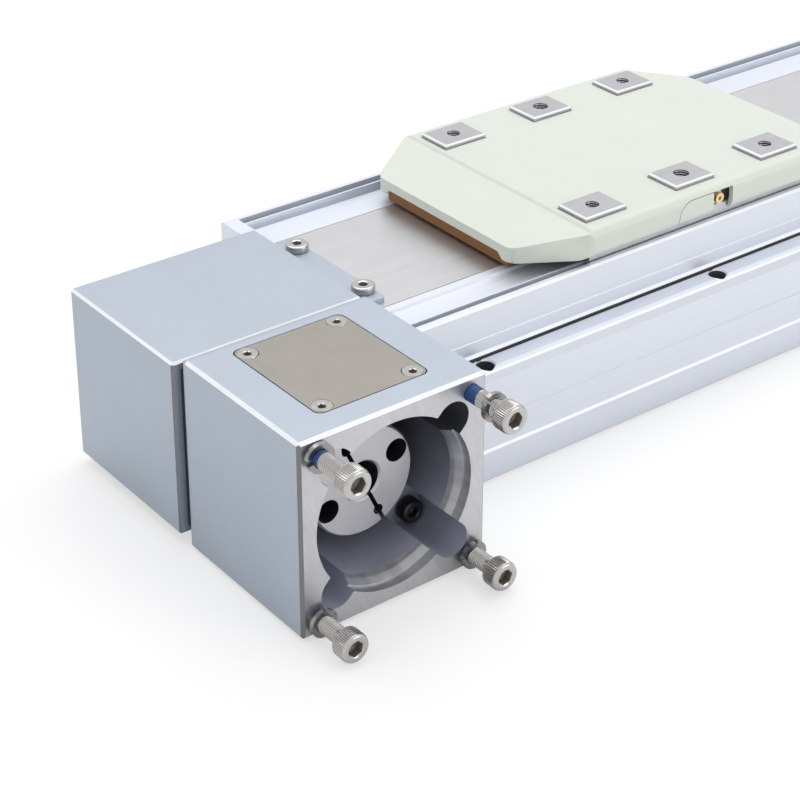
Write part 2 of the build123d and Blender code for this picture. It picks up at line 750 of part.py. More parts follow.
# Coupling: a slit clamp hub for the motor, a centre piece between two spring discs, a hub on the shaft
coupling_radius = coupling_diameter / 2
coupling_front = front_face + coupling_setback
disc_thickness = 0.5
centre_thickness = 6.0
relief_radius = 12.3
relief_angle = 25.0
slit_angle = -65.0
slit_width = 1.2
clamp_screw_radius = 10.5
clamp_screw_diameter = 3.0
clamp_screw_length = 10.0
clamp_head_diameter = 5.5
clamp_head_height = 3.0
clamp_screw_drive = 2.5
clamp_seat = 5.0
relief_hole_radius = 2.1
slit_end_radius = 13.0
slit_hole_radius = 1.2
centre_front = coupling_front + hub_length + disc_thickness
rear_hub_front = centre_front + centre_thickness + disc_thickness
coupling_rear = rear_hub_front + hub_length


def hub_features(front, bore_diameter, angle):
    """Clamp hub with a slit through its bore, relief holes and a cross hole for the clamp screw."""
    with BuildSketch(at_y(front)) as section:
        with Locations((drive_x, axis_height)):
            Circle(coupling_radius)
            Circle(bore_diameter / 2 + press_gap, mode=Mode.SUBTRACT)
            with PolarLocations(relief_radius, 2, start_angle=relief_angle + angle):
                Circle(relief_hole_radius, mode=Mode.SUBTRACT)
            with PolarLocations(coupling_radius / 2, 1, start_angle=slit_angle + angle):
                Rectangle(coupling_radius + 1, slit_width, mode=Mode.SUBTRACT)
            with PolarLocations(slit_end_radius / 2, 1, start_angle=slit_angle + angle + 180):
                Rectangle(slit_end_radius, slit_width, mode=Mode.SUBTRACT)
            with PolarLocations(slit_end_radius, 1, start_angle=slit_angle + angle + 180):
                Circle(slit_hole_radius, mode=Mode.SUBTRACT)
    extrude(section.sketch, amount=-hub_length)
    hub = BuildPart._get_context()
    edges = hub.edges().filter_by(GeomType.CIRCLE).filter_by(lambda e: abs(e.radius - coupling_radius) < 0.01)
    chamfer(edges, 0.5)


def clamp_screw_plane(front, angle):
    """Frame of a clamp screw: across the slit, half way along its hub."""
    turn = math.radians(slit_angle + angle)
    across = (math.cos(turn + math.pi / 2), 0, math.sin(turn + math.pi / 2))
    centre = (
        drive_x + clamp_screw_radius * math.cos(turn) + clamp_seat * across[0],
        front + hub_length / 2,
        axis_height + clamp_screw_radius * math.sin(turn) + clamp_seat * across[2],
    )
    return Plane(centre, (0, 1, 0), across)


def clamp_screw_hole(front, angle):
    """Hole for the clamp screw, counterbored for its head from outside."""
    with BuildSketch(clamp_screw_plane(front, angle)) as head:
        Circle(clamp_head_diameter / 2 + seam_gap)
    extrude(head.sketch, amount=coupling_radius, mode=Mode.SUBTRACT)
    with BuildSketch(clamp_screw_plane(front, angle)) as shank:
        Circle(clamp_screw_diameter / 2 + press_gap)
    extrude(shank.sketch, amount=-clamp_screw_length - 1, mode=Mode.SUBTRACT)


with BuildPart() as coupling_hub_motor:
    hub_features(coupling_front, motor_bore_diameter, 0)
    clamp_screw_hole(coupling_front, 0)
    bore_edge = coupling_hub_motor.faces().sort_by(Axis.Y)[0].edges().filter_by(GeomType.CIRCLE)
    chamfer(bore_edge.filter_by(lambda e: abs(e.radius - motor_bore_diameter / 2) < 0.1), 0.6)
finish(coupling_hub_motor, "coupling_hub_motor")

with BuildPart() as coupling_hub_shaft:
    hub_features(rear_hub_front, shaft_diameter, 90)
    clamp_screw_hole(rear_hub_front, 90)
finish(coupling_hub_shaft, "coupling_hub_shaft")

clamp_screw = socket_screw(
    clamp_screw_diameter, clamp_screw_length, clamp_head_diameter, clamp_head_height, clamp_screw_drive
)
with BuildPart() as coupling_clamp_screws:
    for front, angle in ((coupling_front, 0), (rear_hub_front, 90)):
        with Locations(clamp_screw_plane(front, angle)):
            add(clamp_screw)
finish(coupling_clamp_screws, "coupling_clamp_screws")

with BuildPart() as coupling_centre:
    with BuildSketch(at_y(centre_front)):
        with Locations((drive_x, axis_height)):
            ring(coupling_radius, shoulder_radius - 4)
    extrude(amount=-centre_thickness)
    rims = coupling_centre.edges().filter_by(GeomType.CIRCLE)
    chamfer(rims.filter_by(lambda e: abs(e.radius - coupling_radius) < 0.01), 0.4)
finish(coupling_centre, "coupling_centre")

with BuildPart() as coupling_discs:
    for front in (centre_front, rear_hub_front):
        with BuildSketch(at_y(front - disc_thickness)):
            with Locations((drive_x, axis_height)):
                ring(coupling_radius - 0.8, shoulder_radius - 3.5)
        extrude(amount=-disc_thickness)
finish(coupling_discs, "coupling_discs")


# Drive shaft with its inner bearing rings, sleeves, circlips, key and pulley
shaft_radius = shaft_diameter / 2
shaft_front = coupling_rear - 11.0
bearing_near = housing_depth / 2 - seat_setback - bearing_width
bearing_far = housing_depth / 2 - seat_setback
circlip_width = 1.0
circlip_offset = bearing_far + 0.1
shaft_end = housing_depth / 2 - 0.4
pulley_half = belt_width / 2 + 1.0 + flange_thickness
key_width = 4.0
key_length = 14.0
key_lift = 1.6
circlip_groove = 0.6
with BuildPart() as drive_shaft:
    with BuildSketch(at_y(shaft_front)):
        with Locations((drive_x, axis_height)):
            Circle(shaft_radius)
    extrude(amount=-(shaft_end - shaft_front))
    for y in (-circlip_offset - circlip_width, circlip_offset):
        with BuildSketch(at_y(y)):
            with Locations((drive_x, axis_height)):
                ring(shaft_radius + 1, shaft_radius - circlip_groove)
        extrude(amount=-circlip_width, mode=Mode.SUBTRACT)
    with BuildSketch(Plane.XY.offset(axis_height + shaft_radius)):
        with Locations((drive_x, 0)):
            Rectangle(key_width, key_length)
    extrude(amount=-2.4, mode=Mode.SUBTRACT)
    chamfer(drive_shaft.faces().sort_by(Axis.Y)[-1].edges(), 0.4)
finish(drive_shaft, "drive_shaft")

with BuildPart() as drive_key:
    with BuildSketch(Plane.XY.offset(axis_height + shaft_radius - 2.4)):
        with Locations((drive_x, 0)):
            Rectangle(key_width - 2 * press_gap, key_length - 2 * press_gap)
    extrude(amount=2.4 + key_lift)
finish(drive_key, "drive_key")

inner_ring_radius = 9.2
outer_ring_bore = 11.3
with BuildPart() as bearing_inner_rings:
    for y in (-bearing_far, bearing_near):
        with BuildSketch(at_y(y)):
            with Locations((drive_x, axis_height)):
                ring(inner_ring_radius, shaft_radius + press_gap)
        extrude(amount=-bearing_width)
finish(bearing_inner_rings, "bearing_inner_rings")

shield_setback = 0.5
shield_thickness = 0.5
with BuildPart() as bearing_outer_rings:
    for y in (-bearing_far, bearing_near):
        with BuildSketch(at_y(y)):
            with Locations((drive_x, axis_height)):
                ring(bearing_diameter / 2, outer_ring_bore)
        extrude(amount=-bearing_width)
        for shield in (shield_setback, bearing_width - shield_setback - shield_thickness):
            with BuildSketch(at_y(y + shield)):
                with Locations((drive_x, axis_height)):
                    ring(outer_ring_bore + 0.2, inner_ring_radius + running_gap)
            extrude(amount=-shield_thickness)
finish(bearing_outer_rings, "bearing_outer_rings")

with BuildPart() as shaft_sleeves:
    for y in (-bearing_near, pulley_half):
        with BuildSketch(at_y(y)):
            with Locations((drive_x, axis_height)):
                ring(shaft_radius + 2, shaft_radius + press_gap)
        extrude(amount=-(bearing_near - pulley_half))
finish(shaft_sleeves, "shaft_sleeves")

with BuildPart() as circlips:
    for y in (-circlip_offset - circlip_width, circlip_offset):
        with BuildSketch(at_y(y)):
            with Locations((drive_x, axis_height)):
                ring(shaft_radius + 1.5, shaft_radius - circlip_groove + press_gap)
                with Locations((0, -shaft_radius)):
                    Rectangle(4, 6, mode=Mode.SUBTRACT)
        extrude(amount=-circlip_width)
finish(circlips, "circlips")


def pulley_features(x, bore_radius):
    """Toothed pulley with two flanges, on an axis at the given X."""
    tip = belt_inner - running_gap
    root = belt_tip - running_gap
    with BuildSketch(at_y(-pulley_half)) as toothed:
        with Locations((x, axis_height)):
            Circle(tip)
            with PolarLocations((tip + root) / 2, tooth_count, start_angle=90 + 180 / tooth_count):
                Trapezoid(tip - root + 0.6, 2.9, 80, rotation=90, mode=Mode.SUBTRACT)
            Circle(bore_radius, mode=Mode.SUBTRACT)
    extrude(toothed.sketch, amount=-2 * pulley_half)
    for y in (-pulley_half, pulley_half - flange_thickness):
        with BuildSketch(at_y(y)) as flange:
            with Locations((x, axis_height)):
                ring(flange_radius, bore_radius)
        extrude(flange.sketch, amount=-flange_thickness)


with BuildPart() as drive_pulley:
    pulley_features(drive_x, shaft_radius + press_gap)
    with BuildSketch(Plane.XY.offset(axis_height)):
        with Locations((drive_x, 0)):
            Rectangle(key_width, 2 * pulley_half)
    extrude(amount=shaft_radius + key_lift + press_gap, mode=Mode.SUBTRACT)
finish(drive_pulley, "drive_pulley")


# Timing belt: a closed loop with teeth on its straight runs
def belt_inside():
    """Inner outline of the belt: smooth round the pulleys, toothed between them, as one closed wire."""
    first = drive_x + tooth_pitch * 1.5
    count = int((idler_x - drive_x - 3 * tooth_pitch) / tooth_pitch) + 1
    upper = [(drive_x, axis_height + belt_inner)]
    for i in range(count):
        x = first + i * tooth_pitch
        for dx, dz in ((-1.3, 0), (-0.9, belt_tooth_height), (0.9, belt_tooth_height), (1.3, 0)):
            upper.append((x + dx, axis_height + belt_inner - dz))
    upper.append((idler_x, axis_height + belt_inner))
    lower = [(x, 2 * axis_height - z) for x, z in reversed(upper)]
    return upper, lower


belt_upper, belt_lower = belt_inside()
with BuildPart() as timing_belt:
    with BuildSketch(at_y(-belt_width / 2)):
        with Locations(((drive_x + idler_x) / 2, axis_height)):
            SlotCenterToCenter(axle_distance, 2 * belt_outer)
        with BuildLine() as inside:
            Polyline(*belt_upper)
            ThreePointArc(belt_upper[-1], (idler_x + belt_inner, axis_height), belt_lower[0])
            Polyline(*belt_lower)
            ThreePointArc(belt_lower[-1], (drive_x - belt_inner, axis_height), belt_upper[0])
        make_face(inside.edges(), mode=Mode.SUBTRACT)
    extrude(amount=-belt_width)
finish(timing_belt, "timing_belt")


# Idler end: mirrored housing with a sliding fork, axle, bushes and tension screws
fork_cheek = 5.8
fork_height = 22.0
fork_nose = 12.0
fork_reach = 19.4
fork_front = idler_x - fork_nose
fork_rear = idler_x + fork_reach
fork_web = 3.6
fork_side_gap = 0.2
fork_half = idler_cavity_width / 2 - fork_side_gap
tension_screw_y = 9.0
tension_screw_diameter = 5.0
tension_head_diameter = 8.5
tension_head_height = 5.0
tension_screw_drive = 4.0
tension_screw_engagement = 2.8
end_wall_x = body_half + housing_width
tension_screw_length = end_wall_x - fork_rear + tension_screw_engagement
with BuildPart() as idler_housing:
    housing_shell(body_half + housing_width / 2, idler_cavity_width / 2, 1)
    housing_screw_holes(1)
    with Locations(Plane((end_wall_x, 0, axis_height), (0, 1, 0), (1, 0, 0))):
        with Locations((-tension_screw_y, 0), (tension_screw_y, 0)):
            Hole(tension_screw_diameter / 2 + press_gap, housing_wall)
finish(idler_housing, "idler_housing")

with BuildPart() as tension_fork:
    with BuildSketch(Plane.XZ):
        with Locations(((fork_front + fork_rear) / 2, axis_height)):
            Rectangle(fork_rear - fork_front, fork_height)
    extrude(amount=fork_half, both=True)
    with BuildSketch(Plane.XZ):
        with Locations(((fork_front + fork_rear - fork_web) / 2, axis_height)):
            Rectangle(fork_rear - fork_web - fork_front, fork_height)
    extrude(amount=fork_half - fork_cheek, both=True, mode=Mode.SUBTRACT)
    with BuildSketch(at_y(-fork_half)):
        with Locations((idler_x, axis_height)):
            Circle(idler_axle_diameter / 2 + press_gap)
    extrude(amount=-2 * fork_half, mode=Mode.SUBTRACT)
    with Locations(Plane((fork_rear, 0, axis_height), (0, 1, 0), (1, 0, 0))):
        with Locations((-tension_screw_y, 0), (tension_screw_y, 0)):
            Hole(tension_screw_diameter / 2 + press_gap, fork_web)
finish(tension_fork, "tension_fork")

tension_screw = socket_screw(
    tension_screw_diameter, tension_screw_length, tension_head_diameter, tension_head_height,
    tension_screw_drive,
)
with BuildPart() as tension_screws:
    with Locations(Plane((end_wall_x, 0, axis_height), (0, 1, 0), (1, 0, 0))):
        with Locations((-tension_screw_y, 0), (tension_screw_y, 0)):
            add(tension_screw)
finish(tension_screws, "tension_screws")

with BuildPart() as idler_axle:
    with BuildSketch(at_y(-fork_half)):
        with Locations((idler_x, axis_height)):
            Circle(idler_axle_diameter / 2)
    extrude(amount=-2 * fork_half)
    chamfer(idler_axle.edges().filter_by(GeomType.CIRCLE), 0.4)
finish(idler_axle, "idler_axle")

bush_radius = 7.0
bush_gap = 0.04
with BuildPart() as idler_bushes:
    for y in (-pulley_half, 0.5):
        with BuildSketch(at_y(y)):
            with Locations((idler_x, axis_height)):
                ring(bush_radius, idler_axle_diameter / 2 + bush_gap)
        extrude(amount=-(pulley_half - 0.5))
finish(idler_bushes, "idler_bushes")

with BuildPart() as idler_pulley:
    pulley_features(idler_x, bush_radius + press_gap)
finish(idler_pulley, "idler_pulley")


# Carriage: four bearing blocks, a saddle whose legs pass the deck, a top plate with six pads
cx = carriage_rest_x
block_spacing_x = 60.0
block_top = saddle_bottom
block_bottom = shelf_height + block_lift
block_screw_spacing = 24.0
block_screw_diameter = 3.0
block_screw_length = 6.0
block_thread_depth = 3.5
block_neck = 1.0
block_neck_height = 4.0
with BuildPart() as bearing_blocks:
    for dx in (-block_spacing_x / 2, block_spacing_x / 2):
        for y in (-rail_spacing / 2, rail_spacing / 2):
            half = block_width / 2
            slot = rail_half + running_gap
            head = shelf_height + rail_height + running_gap
            neck = block_top - block_neck_height
            section = [
                (y - half, block_bottom), (y - slot, block_bottom), (y - slot, head),
                (y + slot, head), (y + slot, block_bottom), (y + half, block_bottom),
                (y + half, neck), (y + half - block_neck, neck + 1),
                (y + half - block_neck, block_top), (y - half + block_neck, block_top),
                (y - half + block_neck, neck + 1), (y - half, neck),
            ]
            with BuildSketch(Plane.YZ.offset(cx + dx - block_length / 2)):
                with BuildLine():
                    Polyline(*section, close=True)
                make_face()
            extrude(amount=block_length)
    with Locations(Plane.XY.offset(block_top)):
        with Locations((cx, 0)):
            with GridLocations(block_spacing_x, rail_spacing, 2, 2):
                with GridLocations(block_screw_spacing, 1, 2, 1):
                    Hole(block_screw_diameter / 2 + press_gap, block_thread_depth)
finish(bearing_blocks, "bearing_blocks")

leg_inner = leg_outer - leg_thickness
flange_bottom = 52.4
plate_bottom = 55.4
flange_inner = 33.0
saddle_head_depth = 2.0
block_head_diameter = 5.5
block_screw_drive = 2.0
plate_screw_y = 37.0
plate_screw_x = 20.0
belt_clamp_length = 40.0
belt_clamp_half = 16.0
belt_clamp_screw_y = 12.5
belt_clamp_screw_x = 14.0
saddle_outline = [
    (0, saddle_bottom), (leg_outer, saddle_bottom), (leg_outer, plate_bottom), (flange_inner, plate_bottom),
    (flange_inner, flange_bottom), (leg_inner, flange_bottom), (leg_inner, saddle_top), (0, saddle_top),
]
saddle_screw_grid = (block_spacing_x, rail_spacing)
with BuildPart() as saddle:
    with BuildSketch(Plane.YZ.offset(cx - saddle_length / 2)):
        with BuildLine():
            Polyline(*both_sides(saddle_outline), close=True)
        make_face()
    extrude(amount=saddle_length)
    with Locations(Plane.XY.offset(saddle_top)):
        with Locations((cx, 0)):
            with GridLocations(*saddle_screw_grid, 2, 2):
                with GridLocations(block_screw_spacing, 1, 2, 1):
                    CounterBoreHole(
                        block_screw_diameter / 2 + press_gap, block_head_diameter / 2 + seam_gap, saddle_head_depth
                    )
            with GridLocations(2 * belt_clamp_screw_x, 2 * belt_clamp_screw_y, 2, 2):
                Hole(block_screw_diameter / 2 + press_gap, saddle_thickness)
    with Locations(Plane.XY.offset(plate_bottom)):
        with Locations((cx, 0)):
            with GridLocations(2 * plate_screw_x, 2 * plate_screw_y, 2, 2):
                Hole(block_screw_diameter / 2 + press_gap, plate_bottom - flange_bottom)
finish(saddle, "saddle")

block_screw = socket_screw(
    block_screw_diameter, block_screw_length, block_head_diameter, saddle_head_depth, block_screw_drive
)
with BuildPart() as saddle_screws:
    with Locations(Plane.XY.offset(saddle_top - saddle_head_depth)):
        with Locations((cx, 0)):
            with GridLocations(*saddle_screw_grid, 2, 2):
                with GridLocations(block_screw_spacing, 1, 2, 1):
                    add(block_screw)
finish(saddle_screws, "saddle_screws")

small_screw_diameter = 3.0
small_head_diameter = 6.0
small_screw_drive = 2.0
belt_clamp_screw_length = 10.0
belt_run_bottom = axis_height + belt_tip - running_gap
belt_run_top = axis_height + belt_outer + running_gap
belt_run_half = belt_width / 2 + 0.6
with BuildPart() as belt_clamp_lower:
    with BuildSketch(Plane.YZ.offset(cx - belt_clamp_length / 2)):
        with Locations((0, (saddle_top + belt_run_top) / 2)):
            Rectangle(2 * belt_clamp_half, belt_run_top - saddle_top)
        with Locations((0, (belt_run_bottom + belt_run_top) / 2)):
            Rectangle(2 * belt_run_half, belt_run_top - belt_run_bottom, mode=Mode.SUBTRACT)
    extrude(amount=belt_clamp_length)
    with Locations(Plane.XY.offset(belt_run_top)):
        with Locations((cx, 0)):
            with GridLocations(2 * belt_clamp_screw_x, 2 * belt_clamp_screw_y, 2, 2):
                Hole(small_screw_diameter / 2 + press_gap)
finish(belt_clamp_lower, "belt_clamp_lower")

clamp_plate_thickness = 3.0
clamp_top = belt_run_top + clamp_plate_thickness
with BuildPart() as belt_clamp_upper:
    with BuildSketch(Plane.XY.offset(belt_run_top)):
        with Locations((cx, 0)):
            Rectangle(belt_clamp_length, 2 * belt_clamp_half)
    extrude(amount=clamp_plate_thickness)
    with Locations(Plane.XY.offset(clamp_top)):
        with Locations((cx, 0)):
            with GridLocations(2 * belt_clamp_screw_x, 2 * belt_clamp_screw_y, 2, 2):
                CounterSinkHole(small_screw_diameter / 2 + press_gap, small_head_diameter / 2 + press_gap)
finish(belt_clamp_upper, "belt_clamp_upper")

belt_clamp_screw = flush_screw(
    small_screw_diameter, belt_clamp_screw_length, small_head_diameter, small_screw_drive
)
with BuildPart() as belt_clamp_screws:
    with Locations(Plane.XY.offset(clamp_top)):
        with Locations((cx, 0)):
            with GridLocations(2 * belt_clamp_screw_x, 2 * belt_clamp_screw_y, 2, 2):
                add(belt_clamp_screw)
finish(belt_clamp_screws, "belt_clamp_screws")

plate_top = cover_top - cover_top_wall
plate_length = 91.0
plate_width = 82.0
nipple_x = 6.2
nipple_z = 57.8
nipple_radius = 2.3
nipple_shank_radius = 1.5
nipple_shank_length = 4.5
nipple_hole_depth = 5.0
pad_thread_depth = 8.0
pad_plain_depth = 6.0
plate_screw_length = 7.5
plate_hole_depth = 8.0
pad_spots = [(dx * pad_pitch_x, sy * pad_pitch_y / 2) for dx in (-1, 0, 1) for sy in (-1, 1)]
with BuildPart() as carriage_plate:
    with BuildSketch(Plane.XY.offset(plate_bottom)):
        with Locations((cx, 0)):
            Rectangle(plate_length, plate_width)
    extrude(amount=plate_top - plate_bottom)
    with BuildSketch(Plane.XY.offset(plate_top)):
        with Locations((cx, 0)):
            with Locations(*pad_spots):
                Rectangle(pad_length, pad_width)
    extrude(amount=pad_top - plate_top)
    chamfer(carriage_plate.faces().filter_by_position(Axis.Z, pad_top - 0.01, pad_top + 0.01).edges(), 0.5)
    with Locations(Plane.XY.offset(pad_top)):
        with Locations((cx, 0)):
            with GridLocations(2 * pad_pitch_x, pad_pitch_y, 2, 2):
                Hole(pad_thread_diameter / 2, pad_thread_depth)
            with GridLocations(1, pad_pitch_y, 1, 2):
                Hole(pad_plain_diameter / 2, pad_plain_depth)
    with Locations(Plane.XY.offset(plate_top)):
        with Locations((cx, 0)):
            with GridLocations(2 * plate_screw_x, 2 * plate_screw_y, 2, 2):
                CounterSinkHole(
                    small_screw_diameter / 2 + press_gap, small_head_diameter / 2 + press_gap, plate_hole_depth
                )
    with Locations(Plane((cx + nipple_x, -plate_width / 2, nipple_z), (1, 0, 0), (0, -1, 0))):
        Hole(nipple_shank_radius + press_gap, nipple_hole_depth)
finish(carriage_plate, "carriage_plate")

plate_screw = flush_screw(small_screw_diameter, plate_screw_length, small_head_diameter, small_screw_drive)
with BuildPart() as carriage_plate_screws:
    with Locations(Plane.XY.offset(plate_top)):
        with Locations((cx, 0)):
            with GridLocations(2 * plate_screw_x, 2 * plate_screw_y, 2, 2):
                add(plate_screw)
finish(carriage_plate_screws, "carriage_plate_screws")

with BuildPart() as grease_nipple:
    with BuildSketch(at_y(-plate_width / 2)):
        with Locations((cx + nipple_x, nipple_z)):
            RegularPolygon(nipple_radius, 6, major_radius=False)
    extrude(amount=1.4)
    with BuildSketch(at_y(-plate_width / 2 - 1.4)):
        with Locations((cx + nipple_x, nipple_z)):
            Circle(1.7)
    extrude(amount=1.6)
    with BuildSketch(at_y(-plate_width / 2)):
        with Locations((cx + nipple_x, nipple_z)):
            Circle(nipple_shank_radius)
    extrude(amount=-nipple_shank_length)
    with BuildSketch(at_y(-plate_width / 2 - 3.0)):
        with Locations((cx + nipple_x, nipple_z)):
            Circle(0.6)
    extrude(amount=-1.2, mode=Mode.SUBTRACT)
finish(grease_nipple, "grease_nipple")


# Carriage cover: thin moulded shell with sloping ends, cut corners and square openings for the pads
half_length = cover_length / 2
half_crease = crease_length / 2
hatch_left = -11.4
hatch_right = 2.6
hatch_top = 60.8
notch_right = 10.8
side_fillet = 3.0


def shell_body(inset, top_inset, bottom):
    """Solid with the cover's outline, drawn in by the given amounts."""
    hl = half_length - inset
    hw = cover_width / 2 - inset
    he = cover_end_width / 2 - inset * 0.6
    with BuildPart() as body:
        with BuildSketch(Plane.XY.offset(bottom)) as plan:
            with BuildLine():
                Polyline(
                    (cx - hl, -he), (cx - half_crease, -hw), (cx + half_crease, -hw), (cx + hl, -he),
                    (cx + hl, he), (cx + half_crease, hw), (cx - half_crease, hw), (cx - hl, he), close=True,
                )
            make_face()
            fillet(plan.vertices(), 5.0)
        extrude(amount=cover_top - bottom)
        with BuildSketch(Plane.XZ):
            with BuildLine():
                Polyline(
                    (cx - hl, bottom), (cx + hl, bottom), (cx + hl, cover_end_height - top_inset),
                    (cx + half_crease, cover_top - top_inset), (cx - half_crease, cover_top - top_inset),
                    (cx - hl, cover_end_height - top_inset), close=True,
                )
            make_face()
        extrude(amount=cover_width, both=True, mode=Mode.INTERSECT)
        with BuildSketch(Plane.YZ.offset(cx - hl)) as across:
            with Locations((0, (bottom + cover_top - top_inset) / 2)):
                Rectangle(2 * hw, cover_top - top_inset - bottom)
            fillet(across.vertices().group_by(Axis.Z)[-1], max(side_fillet - inset, 0.5))
        extrude(amount=2 * hl, mode=Mode.INTERSECT)
    return body.part


def pad_openings():
    """Square openings round the pads, through the top."""
    with BuildSketch(Plane.XY.offset(cover_top + 1)) as openings:
        with Locations((cx, 0)):
            with Locations(*pad_spots):
                Rectangle(pad_length + 2 * running_gap, pad_width + 2 * running_gap)
    extrude(openings.sketch, amount=-(cover_top_wall + 2), mode=Mode.SUBTRACT)


def side_prism(left, right, top, radius):
    """Prism through the front skirt between two X positions."""
    with BuildPart() as prism:
        with BuildSketch(at_y(-cover_width / 2 - 1)):
            with Locations((cx + (left + right) / 2, (cover_bottom - 1 + top) / 2)):
                Rectangle(right - left, top - cover_bottom + 1)
        extrude(amount=-(cover_side_wall + 2.2))
        if radius:
            fillet(prism.edges().filter_by(Axis.Y).group_by(Axis.X)[0].sort_by(Axis.Z)[-1], radius)
    return prism.part


cover_outer = shell_body(0, 0, cover_bottom)
cover_inner = shell_body(cover_side_wall, cover_top_wall, cover_bottom - 2)
with BuildPart() as carriage_cover:
    add(cover_outer)
    add(cover_inner, mode=Mode.SUBTRACT)
    pad_openings()
    add(side_prism(hatch_left - seam_gap, hatch_right, hatch_top + seam_gap, 5.0), mode=Mode.SUBTRACT)
    add(side_prism(hatch_right - 0.1, notch_right, hatch_top + seam_gap, 0), mode=Mode.SUBTRACT)
finish(carriage_cover, "carriage_cover")

with BuildPart() as side_hatch:
    add(cover_outer)
    add(cover_inner, mode=Mode.SUBTRACT)
    add(side_prism(hatch_left, hatch_right, hatch_top, 4.8), mode=Mode.INTERSECT)
finish(side_hatch, "side_hatch")

wiper_length = 4.0
wiper_half = 29.0
wiper_bottom = deck_top + 0.7
wiper_top = cover_end_height - cover_top_wall - 0.05
with BuildPart() as end_wipers:
    for end in (-1, 1):
        with BuildSketch(Plane.YZ.offset(cx + end * (half_length - cover_side_wall))):
            with Locations((0, (wiper_bottom + wiper_top) / 2)):
                Rectangle(2 * wiper_half, wiper_top - wiper_bottom)
        extrude(amount=-end * wiper_length)
finish(end_wipers, "end_wipers")
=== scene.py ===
import json
import math

import bmesh
import bpy
from bpy.props import FloatProperty, FloatVectorProperty, IntProperty, PointerProperty
from mathutils import Matrix, Vector

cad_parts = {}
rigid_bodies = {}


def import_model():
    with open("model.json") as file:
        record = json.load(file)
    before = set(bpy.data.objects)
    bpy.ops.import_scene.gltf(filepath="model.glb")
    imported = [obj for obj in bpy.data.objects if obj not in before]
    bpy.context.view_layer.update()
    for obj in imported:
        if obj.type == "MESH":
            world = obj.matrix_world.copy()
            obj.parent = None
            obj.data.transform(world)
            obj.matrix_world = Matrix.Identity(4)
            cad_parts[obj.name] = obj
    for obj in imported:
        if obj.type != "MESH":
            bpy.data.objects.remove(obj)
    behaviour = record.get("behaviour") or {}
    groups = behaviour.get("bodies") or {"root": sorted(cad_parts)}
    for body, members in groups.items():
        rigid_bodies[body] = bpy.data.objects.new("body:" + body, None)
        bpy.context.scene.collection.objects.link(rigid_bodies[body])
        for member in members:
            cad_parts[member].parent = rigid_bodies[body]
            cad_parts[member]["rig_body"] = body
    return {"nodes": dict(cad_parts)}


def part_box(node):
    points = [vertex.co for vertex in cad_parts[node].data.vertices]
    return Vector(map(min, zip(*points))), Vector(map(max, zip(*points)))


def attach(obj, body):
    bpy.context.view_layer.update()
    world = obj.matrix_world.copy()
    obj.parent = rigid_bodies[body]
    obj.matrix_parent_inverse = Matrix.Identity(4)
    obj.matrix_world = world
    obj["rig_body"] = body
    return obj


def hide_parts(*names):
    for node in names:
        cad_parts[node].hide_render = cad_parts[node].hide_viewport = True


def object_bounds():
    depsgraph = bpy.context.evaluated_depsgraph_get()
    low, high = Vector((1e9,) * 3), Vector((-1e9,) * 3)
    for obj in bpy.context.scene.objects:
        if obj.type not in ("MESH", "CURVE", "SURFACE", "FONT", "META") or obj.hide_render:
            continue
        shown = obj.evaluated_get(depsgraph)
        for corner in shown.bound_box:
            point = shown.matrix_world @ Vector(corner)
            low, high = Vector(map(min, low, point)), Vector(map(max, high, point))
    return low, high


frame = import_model()
cad_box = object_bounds()
cad_nodes = frame["nodes"]

bl_info = {
    "name": "Linear Stage Dressing",
    "version": (1, 0, 0),
    "blender": (4, 5, 0),
    "location": "View3D > Sidebar > Linear Stage",
    "description": "Gives the belt-driven linear stage its finishes, soft edges, threaded screws and studio",
    "category": "Object",
}

MM = 0.001


def centre_of(node):
    """Middle of a CAD node's box."""
    low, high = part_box(node)
    return (low + high) / 2


HOUSING_LOW, HOUSING_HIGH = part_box("coupling_housing")
COVER_LOW, COVER_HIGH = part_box("carriage_cover")
FACE_Y = HOUSING_LOW.y
DRIVE_AXIS = centre_of("drive_shaft")
CARRIAGE_CENTRE = centre_of("carriage_cover")

# Coupling housing: depths behind the motor face, distances and radii from the drive axis
FACE_SKIN = 0.05 * MM
HOUSING_DEPTH = 54.9 * MM
CHAMFERED_DEPTH = 50.0 * MM
POCKET_HALF = 28.0 * MM
POCKET_RADIUS = 33.0 * MM
CHAMBER_RADIUS = 22.0 * MM
TURNED_DEPTH = 6.6 * MM
TURNED_RADIUS = 25.3 * MM
NOTCH_INNER = 13.75 * MM
NOTCH_OUTER = 18.72 * MM
NOTCH_RADIUS = 5.2 * MM
NOTCH_DEPTH = 21.0 * MM
REAR_ROUNDING = 3.6 * MM

# Heights between which the painted light from the floor fades into painted shade in the chamber, and the
# shares by which the access plate is drawn in
CHAMBER_LIGHT = (DRIVE_AXIS.z - 22 * MM, DRIVE_AXIS.z + 14 * MM)
PLATE_DRAW_IN = (0.010, 0.009)

# Coupling hub: relief holes and holes at the slit's ends, as x, z and radius in millimetres
HUB_HOLES = ((11.15, 5.20, 3.4), (-11.15, -5.20, 3.4), (5.07, -10.88, 1.5), (-5.07, 10.88, 1.5))
HUB_HOLE_DEPTH = 12.2 * MM
HUB_RIM = 15.5 * MM

# Base profile: distances from its middle plane, and heights
# The mounting holes and foot grooves are painted dark as painted shade
HOLE_BAND = (47.2 * MM, 53.8 * MM)
HOLE_FLOOR = 2.0 * MM
FOOT_GROOVE = (46.0 * MM, 47.2 * MM)
FOOT_GROOVE_HEIGHT = (34.8 * MM, 36.3 * MM)
LEDGE_EDGE_OUT = 53.0 * MM
WALL_EDGE_HEIGHT = 50.5 * MM
FOOT_EDGE = (46.4 * MM, 37.6 * MM)
# Heights where the ledge's chamfer is painted shade instead of the painted highlight
LEDGE_SHADED_BAND = (20 * MM, 34.7 * MM)

